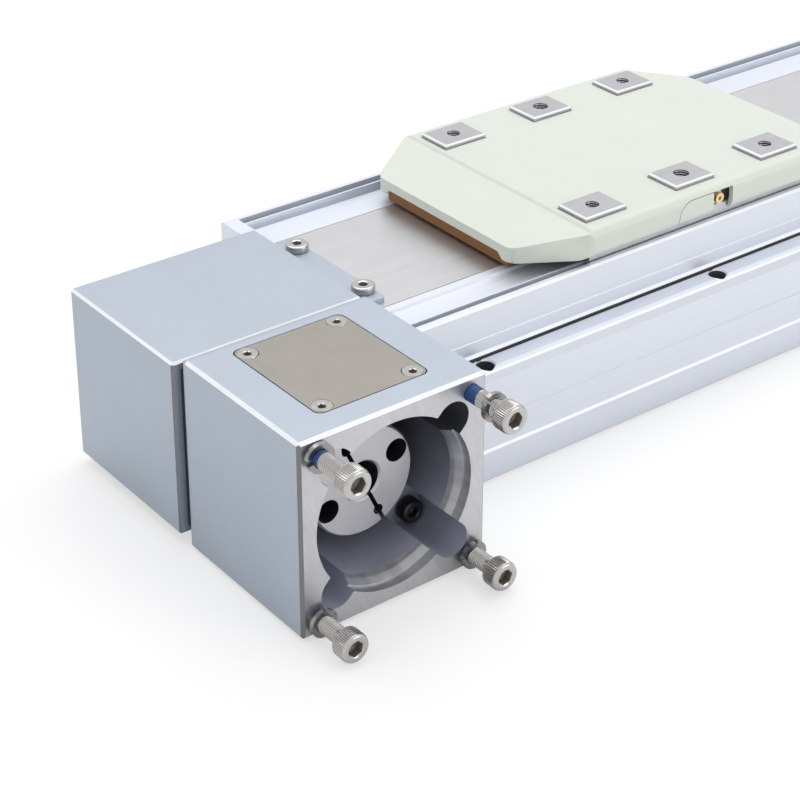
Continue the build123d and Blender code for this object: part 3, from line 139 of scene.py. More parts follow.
# Carriage: pads, crease and end of the cover
PAD_X = 36.5 * MM
PAD_Y = 33.0 * MM
PAD_HOLE_REACH = 3.2 * MM
PAD_EDGE_HEIGHT = 63.0 * MM
CREASE_X = 46.5 * MM
CREASE_STEP = 0.75 * MM
CREASE_HALF = 0.7 * MM
COVER_END_DROP = 4.6 * MM
COVER_END_SLOPE = 0.2
ARCH_HALF = 28.4 * MM
ARCH_RISE = 1.9 * MM
ARCH_SLANT = 2.2 * MM
ARCH_DEPTH = 1.9 * MM


# Sizes and colours that a user may change

def colour(name, description, value):
    """Linear RGB colour property."""
    return FloatVectorProperty(
        name=name, description=description, subtype="COLOR", size=3, min=0.0, max=1.0, default=value
    )


def length(name, description, value):
    """Length property in metres."""
    return FloatProperty(
        name=name, description=description, unit="LENGTH", min=0.0, default=value, precision=5
    )


def angle(name, description, degrees):
    """Angle property."""
    return FloatProperty(name=name, description=description, subtype="ANGLE", default=math.radians(degrees))


def power(name, description, watts):
    """Lamp power property."""
    return FloatProperty(name=name, description=description, unit="POWER", min=0.0, default=watts)


class FinishSettings(bpy.types.PropertyGroup):
    housing: colour("Housing Anodising", "Blasted, clear anodised housings", (0.385, 0.430, 0.492))
    profile: colour("Profile Anodising", "Extruded profile, a little more lavender", (0.665, 0.695, 0.765))
    milled: colour("Milled Aluminium", "Raw machined faces and pockets", (0.52, 0.52, 0.545))
    # Bright Edge is a painted highlight on chamfers that face up; Dark Edge is painted shade on upright
    # chamfers and in the base's holes and foot grooves
    edge: colour("Bright Edge", "Chamfers that face up", (0.84, 0.86, 0.89))
    dark_edge: colour("Dark Edge", "Upright chamfers of the housings", (0.17, 0.175, 0.19))
    # The chamber colour is dark anodising made darker still with painted shade
    chamber: colour("Chamber", "Dull inside of the coupling housing", (0.235, 0.245, 0.300))
    # The gap colour is painted shade: the spacer in the seam between the housings is made near black
    gap: colour("Gap", "Recessed spacer between the housings", (0.020, 0.021, 0.024))
    # The grime colour is partly grime and partly painted shade in the hollows of the knurls, threads and
    # sockets
    dirt_and_shade: colour("Grime", "Hollows of the knurls, threads and sockets", (0.200, 0.165, 0.140))
    strip: colour("Seal Strip", "Thin stainless strip", (0.54, 0.54, 0.555))
    plate: colour("Access Plate", "Brushed plate over the coupling", (0.29, 0.275, 0.25))
    nickel: colour("Nickel", "Plated screws and washers", (0.48, 0.475, 0.465))
    ivory: colour("Carriage Plastic", "Moulded carriage cover", (0.605, 0.645, 0.580))
    patch: colour("Thread Patch", "Locking patch on the motor screws", (0.004, 0.038, 0.150))
    brass: colour("Brass", "Grease nipple", (0.74, 0.56, 0.31))
    seal: colour("Wiper Brown", "End wipers of the carriage", (0.21, 0.085, 0.022))
    rubber: colour("Rubber", "Belt and bumpers", (0.018, 0.018, 0.019))
    steel: colour("Ground Steel", "Rails, blocks, shaft and bearings", (0.50, 0.50, 0.51))


class ScrewSettings(bpy.types.PropertyGroup):
    flutes: IntProperty(
        name="Flutes", description="Knurl flutes round a screw head", min=12, max=80, default=44
    )
    knurl_depth: length("Knurl Depth", "Depth of the knurl flutes", 0.18 * MM)
    thread_depth: length("Thread Depth", "Depth of the M5 thread", 0.42 * MM)
    thread_pitch: length("Thread Pitch", "Pitch of the M5 thread", 0.8 * MM)
    patch_start: length("Patch Start", "Distance of the locking patch from the head's seat", 9.0 * MM)
    patch_end: length("Patch End", "Far end of the locking patch", 14.0 * MM)
    washer_rise: length("Washer Rise", "Axial gap at a spring washer's split", 0.7 * MM)


class StudioSettings(bpy.types.PropertyGroup):
    camera: FloatVectorProperty(
        name="Camera", description="Place of the camera", subtype="TRANSLATION", unit="LENGTH", size=3,
        default=(-0.52332, -0.45583, 0.33877),
    )
    yaw: angle("Yaw", "Turn to the right of +Y", 37.93)
    pitch: angle("Pitch", "Look down", 25.49)
    roll: angle("Roll", "Turn about the view axis", 0.21)
    lens: FloatProperty(
        name="Lens", description="Focal length for a 36 mm sensor", unit="CAMERA", default=96.686
    )
    shift_x: FloatProperty(name="Shift X", description="Sideways shift of the frame", default=-0.02685)
    shift_y: FloatProperty(name="Shift Y", description="Upward shift of the frame", default=-0.24698)
    ambient: FloatProperty(
        name="Ambient", description="World light on matt surfaces", min=0.0, default=0.66
    )
    key: power("Key", "Power of the overhead softbox", 11.5)
    side: power("Side", "Power of the left softbox", 3.2)
    fill: power("Fill", "Power of the front softbox", 5.0)


# Node helpers

def put(tree, kind, *values, **settings):
    """Adds a node, feeds its inputs in order and returns its first output. None leaves an input as it is."""
    node = tree.nodes.new(kind)
    for key, value in settings.items():
        setattr(node, key, value)
    for socket, value in zip([s for s in node.inputs if s.enabled and s.type != "CUSTOM"], values):
        if isinstance(value, bpy.types.NodeSocket):
            tree.links.new(value, socket)
        elif value is not None:
            socket.default_value = value
    return next((s for s in node.outputs if s.enabled), None)


class Builder:
    """Short calls for filling a node tree."""

    def put(self, kind, *values, **settings):
        return put(self.tree, kind, *values, **settings)

    def parts(self, vector):
        """Outputs X, Y and Z of a vector."""
        return self.put("ShaderNodeSeparateXYZ", vector).node.outputs

    def math(self, operation, *values):
        return self.put("ShaderNodeMath", *values, operation=operation)

    def plus(self, a, b):
        return self.math("ADD", a, b)

    def minus(self, a, b):
        return self.math("SUBTRACT", a, b)

    def times(self, a, b):
        return self.math("MULTIPLY", a, b)


# The middle stretch of a noise, which tint and rough map to the values that they are given
NOISE_SPAN = (0.3, 0.7)
NOISE_ROUGHNESS = 0.55


class Finish(Builder):
    """One procedural material. Patterns are in metres of Object space."""

    def __init__(self, name, base, metallic, roughness):
        self.name = name
        self.material = bpy.data.materials.new("stage_" + name)
        self.material.use_nodes = True
        self.base = (*base, 1.0)
        self.material.diffuse_color = self.base
        self.tree = self.material.node_tree
        self.shader = self.tree.nodes["Principled BSDF"]
        self.shader.inputs["Base Color"].default_value = self.base
        self.shader.inputs["Metallic"].default_value = metallic
        self.shader.inputs["Roughness"].default_value = roughness
        self.place = self.tree.nodes.new("ShaderNodeTexCoord").outputs["Object"]
        self.normal = None

    def vector(self, operation, *values):
        return self.put("ShaderNodeVectorMath", *values, operation=operation)

    def noise(self, size, stretch=(1.0, 1.0, 1.0), detail=2.0, vector=None):
        """Noise whose features are about size metres, drawn out by stretch."""
        spot = self.vector("MULTIPLY", vector or self.place, tuple(1 / s for s in stretch))
        return self.put("ShaderNodeTexNoise", spot, 1 / size, detail, NOISE_ROUGHNESS)

    def span(self, value, low, high):
        """Maps the middle stretch of a noise to the range low..high."""
        return self.put("ShaderNodeMapRange", value, *NOISE_SPAN, low, high)

    def height(self):
        """Height of the point in Object space."""
        return self.parts(self.place)["Z"]

    def rise(self, low, high):
        """Height between two levels as a value that tint takes."""
        return self.put("ShaderNodeMapRange", self.height(), low, high, *NOISE_SPAN)

    def tint(self, value, low, high):
        """Multiplies the colour so far by low..high."""
        before = self.shader.inputs["Base Color"]
        source = before.links[0].from_socket if before.links else self.base[:3]
        scaled = self.vector("SCALE", source)
        self.tree.links.new(self.span(value, low, high), scaled.node.inputs["Scale"])
        self.tree.links.new(scaled, before)
        return self

    def blend(self, factor, other):
        """Mixes another colour into the colour so far."""
        before = self.shader.inputs["Base Color"]
        node = self.tree.nodes.new("ShaderNodeMix")
        node.data_type = "RGBA"
        first, second = (s for s in node.inputs if s.type == "RGBA")
        if before.links:
            self.tree.links.new(before.links[0].from_socket, first)
        else:
            first.default_value = self.base
        second.default_value = (*other, 1.0)
        self.tree.links.new(factor, node.inputs[0])
        self.tree.links.new(next(s for s in node.outputs if s.type == "RGBA"), before)
        return self

    def rough(self, value, low, high):
        """Varies the roughness between low and high."""
        self.tree.links.new(self.span(value, low, high), self.shader.inputs["Roughness"])
        return self

    def relief(self, value, height, strength=1.0):
        """Bump whose depth is height metres; calls stack."""
        bump = self.tree.nodes.new("ShaderNodeBump")
        bump.inputs["Strength"].default_value = strength
        bump.inputs["Distance"].default_value = height
        self.tree.links.new(value, bump.inputs["Height"])
        if self.normal:
            self.tree.links.new(self.normal, bump.inputs["Normal"])
        self.normal = bump.outputs["Normal"]
        self.tree.links.new(self.normal, self.shader.inputs["Normal"])
        return self

    def about(self, axis):
        """Vector from a line along Y, and the same without its part along Y."""
        moved = self.vector("SUBTRACT", self.place, tuple(axis))
        return moved, self.vector("MULTIPLY", moved, (1.0, 0.0, 1.0))

    def lathe(self, axis):
        """Vector of radius and height about a line along Y, for turning marks."""
        moved, flat = self.about(axis)
        radius = self.vector("LENGTH", flat).node.outputs["Value"]
        return self.put("ShaderNodeCombineXYZ", radius, self.parts(moved)["Y"], 0.0)

    def bearing(self, axis):
        """Unit vector away from a line along Y, for patterns that vary round it."""
        return self.vector("NORMALIZE", self.about(axis)[1])


def blasted(name, base, metallic=0.55, roughness=0.46):
    """Bead-blasted, anodised aluminium: fine grain with a faint cloudiness."""
    f = Finish(name, base, metallic, roughness)
    f.tint(f.noise(0.00028, detail=3.0), 0.94, 1.05).tint(f.noise(0.018), 0.985, 1.015)
    f.rough(f.noise(0.0006), roughness - 0.05, roughness + 0.05)
    return f.relief(f.noise(0.00022, detail=3.0), 0.00002, 0.5)


def satin(name, base, metallic=0.6, roughness=0.30):
    """Satin finish for the painted highlight and painted shade of the chamfers: even, with a faint
    cloudiness.
    """
    f = Finish(name, base, metallic, roughness)
    cloud = f.noise(0.006)
    return f.tint(cloud, 0.97, 1.02).rough(cloud, roughness - 0.02, roughness + 0.03)


def extruded(name, base, metallic=0.45, roughness=0.40):
    """Anodised extrusion: die lines along X over a satin surface."""
    f = Finish(name, base, metallic, roughness)
    lines = f.noise(0.0005, (400.0, 1.0, 1.0), 4.0)
    f.tint(lines, 0.965, 1.03).tint(f.noise(0.03, (6.0, 1.0, 1.0)), 0.99, 1.01)
    f.rough(lines, roughness - 0.06, roughness + 0.06)
    return f.relief(lines, 0.00001, 0.35).relief(f.noise(0.0003, detail=3.0), 0.00001, 0.25)


def milled(name, base, metallic=0.85, roughness=0.36, grain=(1.0, 1.0, 14.0), contrast=0.10):
    """Raw milled face: short overlapping cutter marks, aslant on the faces that look along Y."""
    f = Finish(name, base, metallic, roughness)
    slant = math.radians(24.0)
    slanted = f.put(
        "ShaderNodeVectorRotate", f.place, None, (0.0, 1.0, 0.0), slant, rotation_type="AXIS_ANGLE"
    )
    marks = f.noise(0.00045, grain, 4.0, slanted)
    broad = f.noise(0.0035, (1.0, 1.0, 2.5), 3.0, slanted)
    f.tint(marks, 1 - contrast, 1 + contrast).tint(broad, 0.96, 1.04)
    f.rough(marks, roughness - 0.06, roughness + 0.08)
    return f.relief(marks, 0.00002, 0.5).relief(broad, 0.00003, 0.3)


def turned(name, base, metallic=0.9, roughness=0.32, contrast=0.10, sectors=0.0):
    """Lathe-turned aluminium: fine rings about the drive axis; its lighter and darker sectors are painted
    reflection.
    """
    f = Finish(name, base, metallic, roughness)
    rings = f.noise(0.00022, (1.0, 1.0, 1.0), 3.0, f.lathe(DRIVE_AXIS))
    f.tint(rings, 1 - contrast, 1 + contrast / 2).tint(f.noise(0.004), 0.97, 1.03)
    if sectors:
        f.tint(f.noise(0.32, vector=f.bearing(DRIVE_AXIS)), 1 - sectors, 1 + sectors / 3)
    f.rough(rings, roughness - 0.06, roughness + 0.08)
    return f.relief(rings, 0.00001, 0.4)


def threaded(name, base, pitch):
    """Tapped hole: thread grooves down a bore along Z, painted dark as painted shade."""
    f = Finish(name, base, 0.9, 0.34)
    wave = f.math("SINE", f.times(f.height(), math.tau / pitch))
    groove = f.math("MULTIPLY_ADD", wave, 0.5, 0.5)
    f.tint(groove, 0.25, 1.1).tint(f.noise(0.0008), 0.9, 1.05)
    return f.relief(groove, 0.0002, 0.8)


def dulled(name, base, roughness=0.5):
    """Dull anodised inside of a housing, left as cast under the colour; it also carries the painted shade of
    the coupling's inner parts and of the seam.
    """
    f = Finish(name, base, 0.5, roughness)
    f.tint(f.noise(0.00035, detail=3.0), 0.90, 1.10).tint(f.noise(0.012), 0.92, 1.08)
    f.rough(f.noise(0.0009), roughness - 0.05, roughness + 0.06)
    return f.relief(f.noise(0.0003, detail=3.0), 0.00003, 0.5)


def brushed(name, base, stretch, metallic=0.9, roughness=0.34, contrast=0.06):
    """Brushed sheet: long hair lines."""
    f = Finish(name, base, metallic, roughness)
    hair = f.noise(0.00016, stretch, 4.0)
    f.tint(hair, 1 - contrast, 1 + contrast).tint(f.noise(0.012), 0.98, 1.02)
    f.rough(hair, roughness - 0.05, roughness + 0.08)
    return f.relief(hair, 0.000008, 0.4)


def plated(name, base, roughness=0.20, dirt_and_shade=(0.060, 0.045, 0.035)):
    """Plated steel: bright, with grime and painted shade in the hollows that the mask attribute marks."""
    f = Finish(name, base, 1.0, roughness)
    cloud = f.noise(0.0018, detail=4.0)
    f.tint(cloud, 0.95, 1.04).rough(cloud, roughness - 0.04, roughness + 0.06)
    wear = f.put("ShaderNodeAttribute", attribute_name="wear").node.outputs["Fac"]
    f.tree.links.new(f.math("MULTIPLY_ADD", wear, -0.75, 1.0), f.shader.inputs["Metallic"])
    return f.blend(f.times(wear, 0.92), dirt_and_shade).relief(f.noise(0.0004, detail=3.0), 0.000006, 0.3)


def moulded(name, base, roughness=0.42, bumpy=0.00002):
    """Moulded plastic or rubber with a fine spark texture."""
    f = Finish(name, base, 0.0, roughness)
    f.tint(f.noise(0.02), 0.985, 1.01).tint(f.noise(0.0005, detail=3.0), 0.985, 1.01)
    f.rough(f.noise(0.0012), roughness - 0.04, roughness + 0.06)
    return f.relief(f.noise(0.00035, detail=3.0), bumpy, 0.35)


def ground(name, base, roughness=0.28):
    """Ground steel: fine lines along X."""
    f = Finish(name, base, 1.0, roughness)
    lines = f.noise(0.00012, (60.0, 1.0, 1.0), 3.0)
    f.tint(lines, 0.92, 1.06).rough(lines, roughness - 0.05, roughness + 0.08)
    return f.relief(lines, 0.000006, 0.4)


def shade(tone, factor=1.0):
    """A colour from the settings, made lighter or darker."""
    return tuple(factor * v for v in tone)


def make_finishes(s):
    """All materials of the stage, by name."""
    ivory = moulded("ivory_plastic", shade(s.ivory), 0.40)
    ivory.shader.inputs["Subsurface Weight"].default_value = 0.08
    ivory.shader.inputs["Subsurface Radius"].default_value = (0.002, 0.002, 0.0015)
    ivory.shader.inputs["Subsurface Scale"].default_value = 0.5

    # The chamber is paler towards its bottom and darker at its top: painted light from the floor fading into
    # painted shade
    chamber = dulled("chamber_dull", shade(s.chamber))
    chamber.tint(chamber.rise(*CHAMBER_LIGHT), 1.9, 0.3)

    # Only the upper part of the ledge's chamfer gets the painted highlight; in the band below it, a darker
    # copy of the profile colour is painted shade
    ledge = satin("ledge_edge", shade(s.edge))
    above = ledge.math("GREATER_THAN", ledge.height(), LEDGE_SHADED_BAND[0])
    below = ledge.math("LESS_THAN", ledge.height(), LEDGE_SHADED_BAND[1])
    ledge.blend(ledge.times(below, above), shade(s.profile, 0.85))

    made = [
        ivory, chamber, ledge,
        blasted("anodised_housing", shade(s.housing), 0.65),
        extruded("anodised_profile", shade(s.profile)),
        milled("milled_face", shade(s.milled), contrast=0.06),
        # The turned bore is a brighter copy of the milled colour, painted light, and its strong sectors are
        # painted reflection
        turned("turned_bore", shade(s.milled, 1.2), 0.8, 0.38, 0.10, 0.35),
        turned("turned_coupling", shade(s.milled, 1.02), 0.75, 0.40, 0.04),
        satin("bright_edge", shade(s.edge)),
        satin("dark_edge", shade(s.dark_edge), 0.6, 0.34),
        # Painted shade: a near black copy of the chamber colour for the coupling's inner parts and the hub's
        # holes and slit
        dulled("hollow_dark", shade(s.chamber, 0.10), 0.6),
        dulled("gap_dark", shade(s.gap), 0.6),
        # The tie screws are a near black copy of the nickel: black oxide and painted shade of the deep
        # chamber
        plated("black_oxide", shade(s.nickel, 0.12), 0.34, shade(s.dirt_and_shade, 0.05)),
        plated("spring_steel", shade(s.nickel, 0.62), 0.26, shade(s.dirt_and_shade)),
        plated("nickel_plate", shade(s.nickel), 0.20, shade(s.dirt_and_shade)),
        plated("brass_plate", shade(s.brass), 0.28),
        threaded("threaded_bore", shade(s.milled), 0.8 * MM),
        brushed("strip_steel", shade(s.strip), (300.0, 1.0, 1.0)),
        brushed("plate_steel", shade(s.plate), (1.0, 200.0, 1.0), 0.85, 0.40, 0.05),
        moulded("locking_patch", shade(s.patch), 0.5, 0.00006),
        moulded("wiper_brown", shade(s.seal), 0.5),
        moulded("black_rubber", shade(s.rubber), 0.6),
        ground("ground_steel", shade(s.steel)),
        milled("pad_metal", shade(s.milled, 0.82), 0.8, 0.36, (10.0, 1.0, 1.0), 0.04),
    ]
    return {f.name: f.material for f in made}


FINISH_OF = {
    "anodised_profile": ("base_profile", "deck", "end_plate_drive", "end_plate_idler"),
    "anodised_housing": (
        "drive_housing", "idler_housing", "coupling_housing", "strip_clamps", "service_cover",
        "bearing_retainers",
    ),
    "gap_dark": ("housing_spacer",),
    "strip_steel": ("seal_strip",),
    "plate_steel": ("access_cover",),
    "turned_coupling": ("coupling_hub_motor", "drive_pulley", "idler_pulley"),
    "hollow_dark": ("coupling_hub_shaft", "coupling_centre", "coupling_discs"),
    "spring_steel": ("motor_spring_washers",),
    "black_oxide": ("tie_screws",),
    "nickel_plate": (
        "motor_screws", "access_cover_screws", "strip_clamp_screws", "coupling_clamp_screws",
        "tension_screws", "service_cover_screws", "bearing_retainer_screws", "end_plate_screws",
        "housing_bolts", "rail_screws", "saddle_screws", "belt_clamp_screws", "carriage_plate_screws",
    ),
    "ground_steel": (
        "guide_rail_front", "guide_rail_rear", "bearing_blocks", "drive_shaft", "idler_axle",
        "bearing_inner_rings", "bearing_outer_rings", "shaft_sleeves", "circlips", "drive_key",
        "idler_bushes",
    ),
    "milled_face": (
        "saddle", "belt_clamp_lower", "belt_clamp_upper", "tension_fork", "deck_support_drive",
        "deck_support_idler",
    ),
    "pad_metal": ("carriage_plate",),
    "ivory_plastic": ("carriage_cover", "side_hatch"),
    "brass_plate": ("grease_nipple",),
    "wiper_brown": ("end_wipers",),
    "black_rubber": ("timing_belt", "bumpers"),
}


# Mesh helpers

def link(name, data):
    """New object at the origin."""
    thing = bpy.data.objects.new(name, data)
    bpy.context.scene.collection.objects.link(thing)
    return thing


def baked(thing):
    """Puts the evaluated mesh in place of the mesh and its modifiers."""
    bpy.context.view_layer.update()
    graph = bpy.context.evaluated_depsgraph_get()
    mesh = bpy.data.meshes.new_from_object(thing.evaluated_get(graph), depsgraph=graph)
    mesh.name = thing.name
    thing.modifiers.clear()
    thing.data = mesh
    return thing


def merged(node):
    """A CAD node's mesh as clean faces."""
    bm = bmesh.new()
    bm.from_mesh(cad_nodes[node].data)
    bmesh.ops.remove_doubles(bm, verts=bm.verts, dist=2e-6)
    bmesh.ops.dissolve_limit(bm, angle_limit=math.radians(0.3), verts=bm.verts, edges=bm.edges)
    return bm


def seat(thing, node):
    """The piece stands for this CAD node and moves with its body."""
    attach(thing, cad_nodes[node]["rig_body"])
    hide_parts(node)
    return thing


def prism(outline, along):
    """Closed cutter: a flat outline pushed along a vector."""
    count = len(outline)
    points = [Vector(p) for p in outline] + [Vector(p) + Vector(along) for p in outline]
    sides = [(i, (i + 1) % count, count + (i + 1) % count, count + i) for i in range(count)]
    mesh = bpy.data.meshes.new("cutter")
    mesh.from_pydata(points, [], sides + [tuple(range(count)), tuple(range(count, 2 * count))])
    bm = bmesh.new()
    bm.from_mesh(mesh)
    bmesh.ops.recalc_face_normals(bm, faces=bm.faces)
    bm.to_mesh(mesh)
    bm.free()
    return mesh


def slot_cutter(start, end, radius, front, depth, steps=20):
    """Cutter along Y through a rounded slot between two (x, z) centres about the drive axis.
    With both centres the same it is a round hole."""
    bearing = math.atan2(end[1] - start[1], end[0] - start[0])
    outline = []
    for centre, first in ((end, bearing - math.pi / 2), (start, bearing + math.pi / 2)):
        for i in range(steps + (start != end)):
            turn = first + math.pi * i / steps
            x = DRIVE_AXIS.x + centre[0] + radius * math.cos(turn)
            z = DRIVE_AXIS.z + centre[1] + radius * math.sin(turn)
            outline.append((x, front, z))
    return prism(outline, (0.0, depth, 0.0))


def paint(mesh, rule):
    """Gives each face the material that rule(centre, normal) picks. Without a rule they stay as they are."""
    if rule:
        for face in mesh.polygons:
            face.material_index = rule(face.center, face.normal)


def softened(node, materials, width, rule=None, segments=2, limit=32.0, cutters=()):
    """Copy of a CAD node whose edges sharper than limit degrees are rounded. The cutters are taken out
    of it first. rule(centre, normal) picks each face's material."""
    bm = merged(node)
    mesh = bpy.data.meshes.new(node)
    bm.to_mesh(mesh)
    bm.free()
    mesh.shade_smooth()
    thing = link(node + "_finished", mesh)
    for material in materials:
        mesh.materials.append(material)
    tools = [link("cutter", cutter) for cutter in cutters]
    for tool in tools:
        cut = thing.modifiers.new("Cut", "BOOLEAN")
        cut.operation = "DIFFERENCE"
        cut.solver = "EXACT"
        cut.object = tool
    bevel = thing.modifiers.new("Edges", "BEVEL")
    bevel.width = width
    bevel.segments = segments
    bevel.limit_method = "ANGLE"
    bevel.angle_limit = math.radians(limit)
    bevel.miter_outer = "MITER_SHARP"
    bevel.use_clamp_overlap = True
    weighted = thing.modifiers.new("Normals", "WEIGHTED_NORMAL")
    weighted.keep_sharp = True
    weighted.weight = 80
    baked(thing)
    for tool in tools:
        bpy.data.objects.remove(tool)
    paint(thing.data, rule)
    return seat(thing, node)


def repainted(node, materials, rule=None):
    """Plain copy of a CAD node with other materials."""
    mesh = cad_nodes[node].data.copy()
    mesh.materials.clear()
    for material in materials:
        mesh.materials.append(material)
    paint(mesh, rule)
    return seat(link(node + "_finished", mesh), node)


def solids_of(node):
    """Vertex places of each separate solid of a CAD node."""
    bm = bmesh.new()
    bm.from_mesh(cad_nodes[node].data)
    bmesh.ops.remove_doubles(bm, verts=bm.verts, dist=1e-6)
    clouds = []
    for first in bm.verts:
        if first.tag:
            continue
        first.tag = True
        heap, cloud = [first], []
        while heap:
            vert = heap.pop()
            cloud.append(vert.co.copy())
            for edge in vert.link_edges:
                other = edge.other_vert(vert)
                if not other.tag:
                    other.tag = True
                    heap.append(other)
        clouds.append(cloud)
    bm.free()
    return clouds


def box_of(cloud):
    """Low and high corner of a cloud of places."""
    return [Vector([pick(p[i] for p in cloud) for i in range(3)]) for pick in (min, max)]


def screw_frames(node):
    """Centre of the head's top and the outward direction of every screw in a CAD node."""
    frames = []
    for cloud in solids_of(node):
        low, high = box_of(cloud)
        size, centre = high - low, (low + high) / 2
        axis = min(range(3), key=lambda k: abs(size[(k + 1) % 3] - size[(k + 2) % 3]))
        across = [i for i in range(3) if i != axis]
        spread, near_end = {}, 0.02 * size[axis]
        for side, end in ((-1, low[axis]), (1, high[axis])):
            near = [p for p in cloud if abs(p[axis] - end) < near_end]
            spread[side] = max(math.hypot(*(p[i] - centre[i] for i in across)) for p in near)
        side = max(spread, key=spread.get)
        top, direction = centre.copy(), Vector((0.0, 0.0, 0.0))
        top[axis] = high[axis] if side > 0 else low[axis]
        direction[axis] = side
        frames.append((top, direction))
    return frames


# Each screw is turned further than the one before
FIRST_TURN = 0.35
TURN_STEP = 0.9


def seed_points(name, frames):
    """Points mesh with the attributes that the screw trees read."""
    mesh = bpy.data.meshes.new(name)
    mesh.from_pydata([tuple(place) for place, direction in frames], [], [])
    mesh.attributes.new("axis", "FLOAT_VECTOR", "POINT")
    mesh.attributes.new("turn", "FLOAT", "POINT")
    for i, (place, direction) in enumerate(frames):
        mesh.attributes["axis"].data[i].vector = direction
        mesh.attributes["turn"].data[i].value = FIRST_TURN + TURN_STEP * i
    return mesh


# Geometry Nodes

# Kinds of profile point of a turned body
ROUND, HEXAGON, KNURL, FLOOR = range(4)

# Edges with a sharper bend than this stay sharp
SHARP_BEND = math.radians(33.0)


class Recipe(Builder):
    """A Geometry Nodes tree with named inputs, given as Kind=(label, label)."""

    def __init__(self, name, **inputs):
        self.tree = bpy.data.node_groups.new(name, "GeometryNodeTree")
        face = self.tree.interface
        face.new_socket("Geometry", in_out="INPUT", socket_type="NodeSocketGeometry")
        face.new_socket("Geometry", in_out="OUTPUT", socket_type="NodeSocketGeometry")
        self.keys = {}
        for kind, labels in inputs.items():
            for label in labels:
                socket = face.new_socket(label, in_out="INPUT", socket_type="NodeSocket" + kind)
                self.keys[label] = socket.identifier
        self.source = self.tree.nodes.new("NodeGroupInput").outputs
        self.result = self.tree.nodes.new("NodeGroupOutput").inputs[0]

    def __getitem__(self, label):
        return self.source[label]

    def position(self):
        """Outputs X, Y and Z of each vertex's place."""
        return self.parts(self.put("GeometryNodeInputPosition"))

    def sheet(self, around, along):
        """Grid with around by along cells, and the row and the angle of each vertex in it."""
        grid = self.put("GeometryNodeMeshGrid", around, along, self.plus(around, 1.0), self.plus(along, 1.0))
        spot = self.position()
        column = self.math("ROUND", self.plus(spot["X"], self.times(around, 0.5)))
        row = self.math("ROUND", self.plus(spot["Y"], self.times(along, 0.5)))
        return grid, row, self.times(self.math("DIVIDE", column, around), math.tau)

    def wrap(self, grid, radius, angle, height):
        """Rolls the grid into a surface of revolution."""
        x = self.times(radius, self.math("COSINE", angle))
        y = self.times(radius, self.math("SINE", angle))
        spot = self.put("ShaderNodeCombineXYZ", x, y, height)
        moved = self.put("GeometryNodeSetPosition", grid, None, spot)
        return self.put("GeometryNodeMergeByDistance", moved, None, 1e-6)

    def choose(self, index, vectors):
        """Picks one of the vectors by index."""
        node = self.tree.nodes.new("GeometryNodeIndexSwitch")
        node.data_type = "VECTOR"
        while len(node.index_switch_items) < len(vectors):
            node.index_switch_items.new()
        self.tree.links.new(index, node.inputs[0])
        for socket, value in zip(list(node.inputs)[1:], vectors):
            self.tree.links.new(value, socket)
        return node.outputs[0]

    def spot(self, radius, down, kind=ROUND):
        """Profile point of a turned body, down from its top."""
        return self.put("ShaderNodeCombineXYZ", radius, float(kind), self.times(down, -1.0))

    def store(self, shape, name, value):
        """Keeps a value per vertex for the materials."""
        return self.put(
            "GeometryNodeStoreNamedAttribute", shape, None, name, value, data_type="FLOAT", domain="POINT"
        )

    def joined(self, *shapes):
        """The shapes as one."""
        join = self.tree.nodes.new("GeometryNodeJoinGeometry")
        for shape in shapes:
            self.tree.links.new(shape, join.inputs[0])
        return join.outputs[0]

    def lathe(self, around, spots, flutes, knurl_depth):
        """Turned body from profile points, with a hexagon socket and a knurl where the points say so."""
        grid, row, angle = self.sheet(around, float(len(spots) - 1))
        picked = self.parts(self.choose(row, spots))
        is_hex, is_knurl, is_floor = (
            self.math("COMPARE", picked["Y"], float(kind), 0.1) for kind in (HEXAGON, KNURL, FLOOR)
        )
        sector = self.minus(self.math("FLOORED_MODULO", angle, math.tau / 6), math.tau / 12)
        bulge = self.minus(self.math("DIVIDE", 1.0, self.math("COSINE", sector)), 1.0)
        hexed = self.times(picked["X"], self.math("MULTIPLY_ADD", is_hex, bulge, 1.0))
        wave = self.math("MULTIPLY_ADD", self.math("COSINE", self.times(angle, flutes)), 0.5, 0.5)
        groove = self.times(is_knurl, wave)
        radius = self.minus(hexed, self.times(groove, knurl_depth))
        knurled = self.times(groove, self.math("GREATER_THAN", knurl_depth, 0.0))
        # Sockets and knurl flutes are marked for grime and painted shade
        hollow = self.math("MAXIMUM", self.math("MAXIMUM", is_hex, is_floor), self.times(knurled, 0.75))
        return self.wrap(self.store(grid, "wear", hollow), radius, angle, picked["Z"])

    def finish(self, shape):
        """Stands the shape on every point along its axis, with sharp edges kept, and ends the tree."""
        smooth = self.put("GeometryNodeSetShadeSmooth", shape, None, True, domain="FACE")
        bend = self.put("GeometryNodeInputMeshEdgeAngle")
        sharp = self.put("FunctionNodeCompare", bend, SHARP_BEND, operation="GREATER_THAN")
        shaded = self.put("GeometryNodeSetShadeSmooth", smooth, sharp, False, domain="EDGE")
        axis = self.put("GeometryNodeInputNamedAttribute", "axis", data_type="FLOAT_VECTOR")
        turn = self.put("GeometryNodeInputNamedAttribute", "turn", data_type="FLOAT")
        aligned = self.put("FunctionNodeAlignRotationToVector", None, 1.0, axis, axis="Z")
        spun = self.put("FunctionNodeAxisAngleToRotation", (0.0, 0.0, 1.0), turn)
        rotation = self.put("FunctionNodeRotateRotation", aligned, spun, rotation_space="LOCAL")
        points = self["Geometry"]
        placed = self.put("GeometryNodeInstanceOnPoints", points, None, shaded, None, None, rotation)
        self.tree.links.new(self.put("GeometryNodeRealizeInstances", placed), self.result)
        return self

    def apply(self, name, frames, values):
        """Runs the tree on points and returns the piece."""
        thing = link(name, seed_points(name, frames))
        modifier = thing.modifiers.new("Recipe", "NODES")
        modifier.node_group = self.tree
        for label, value in values.items():
            modifier[self.keys[label]] = value
        return baked(thing)


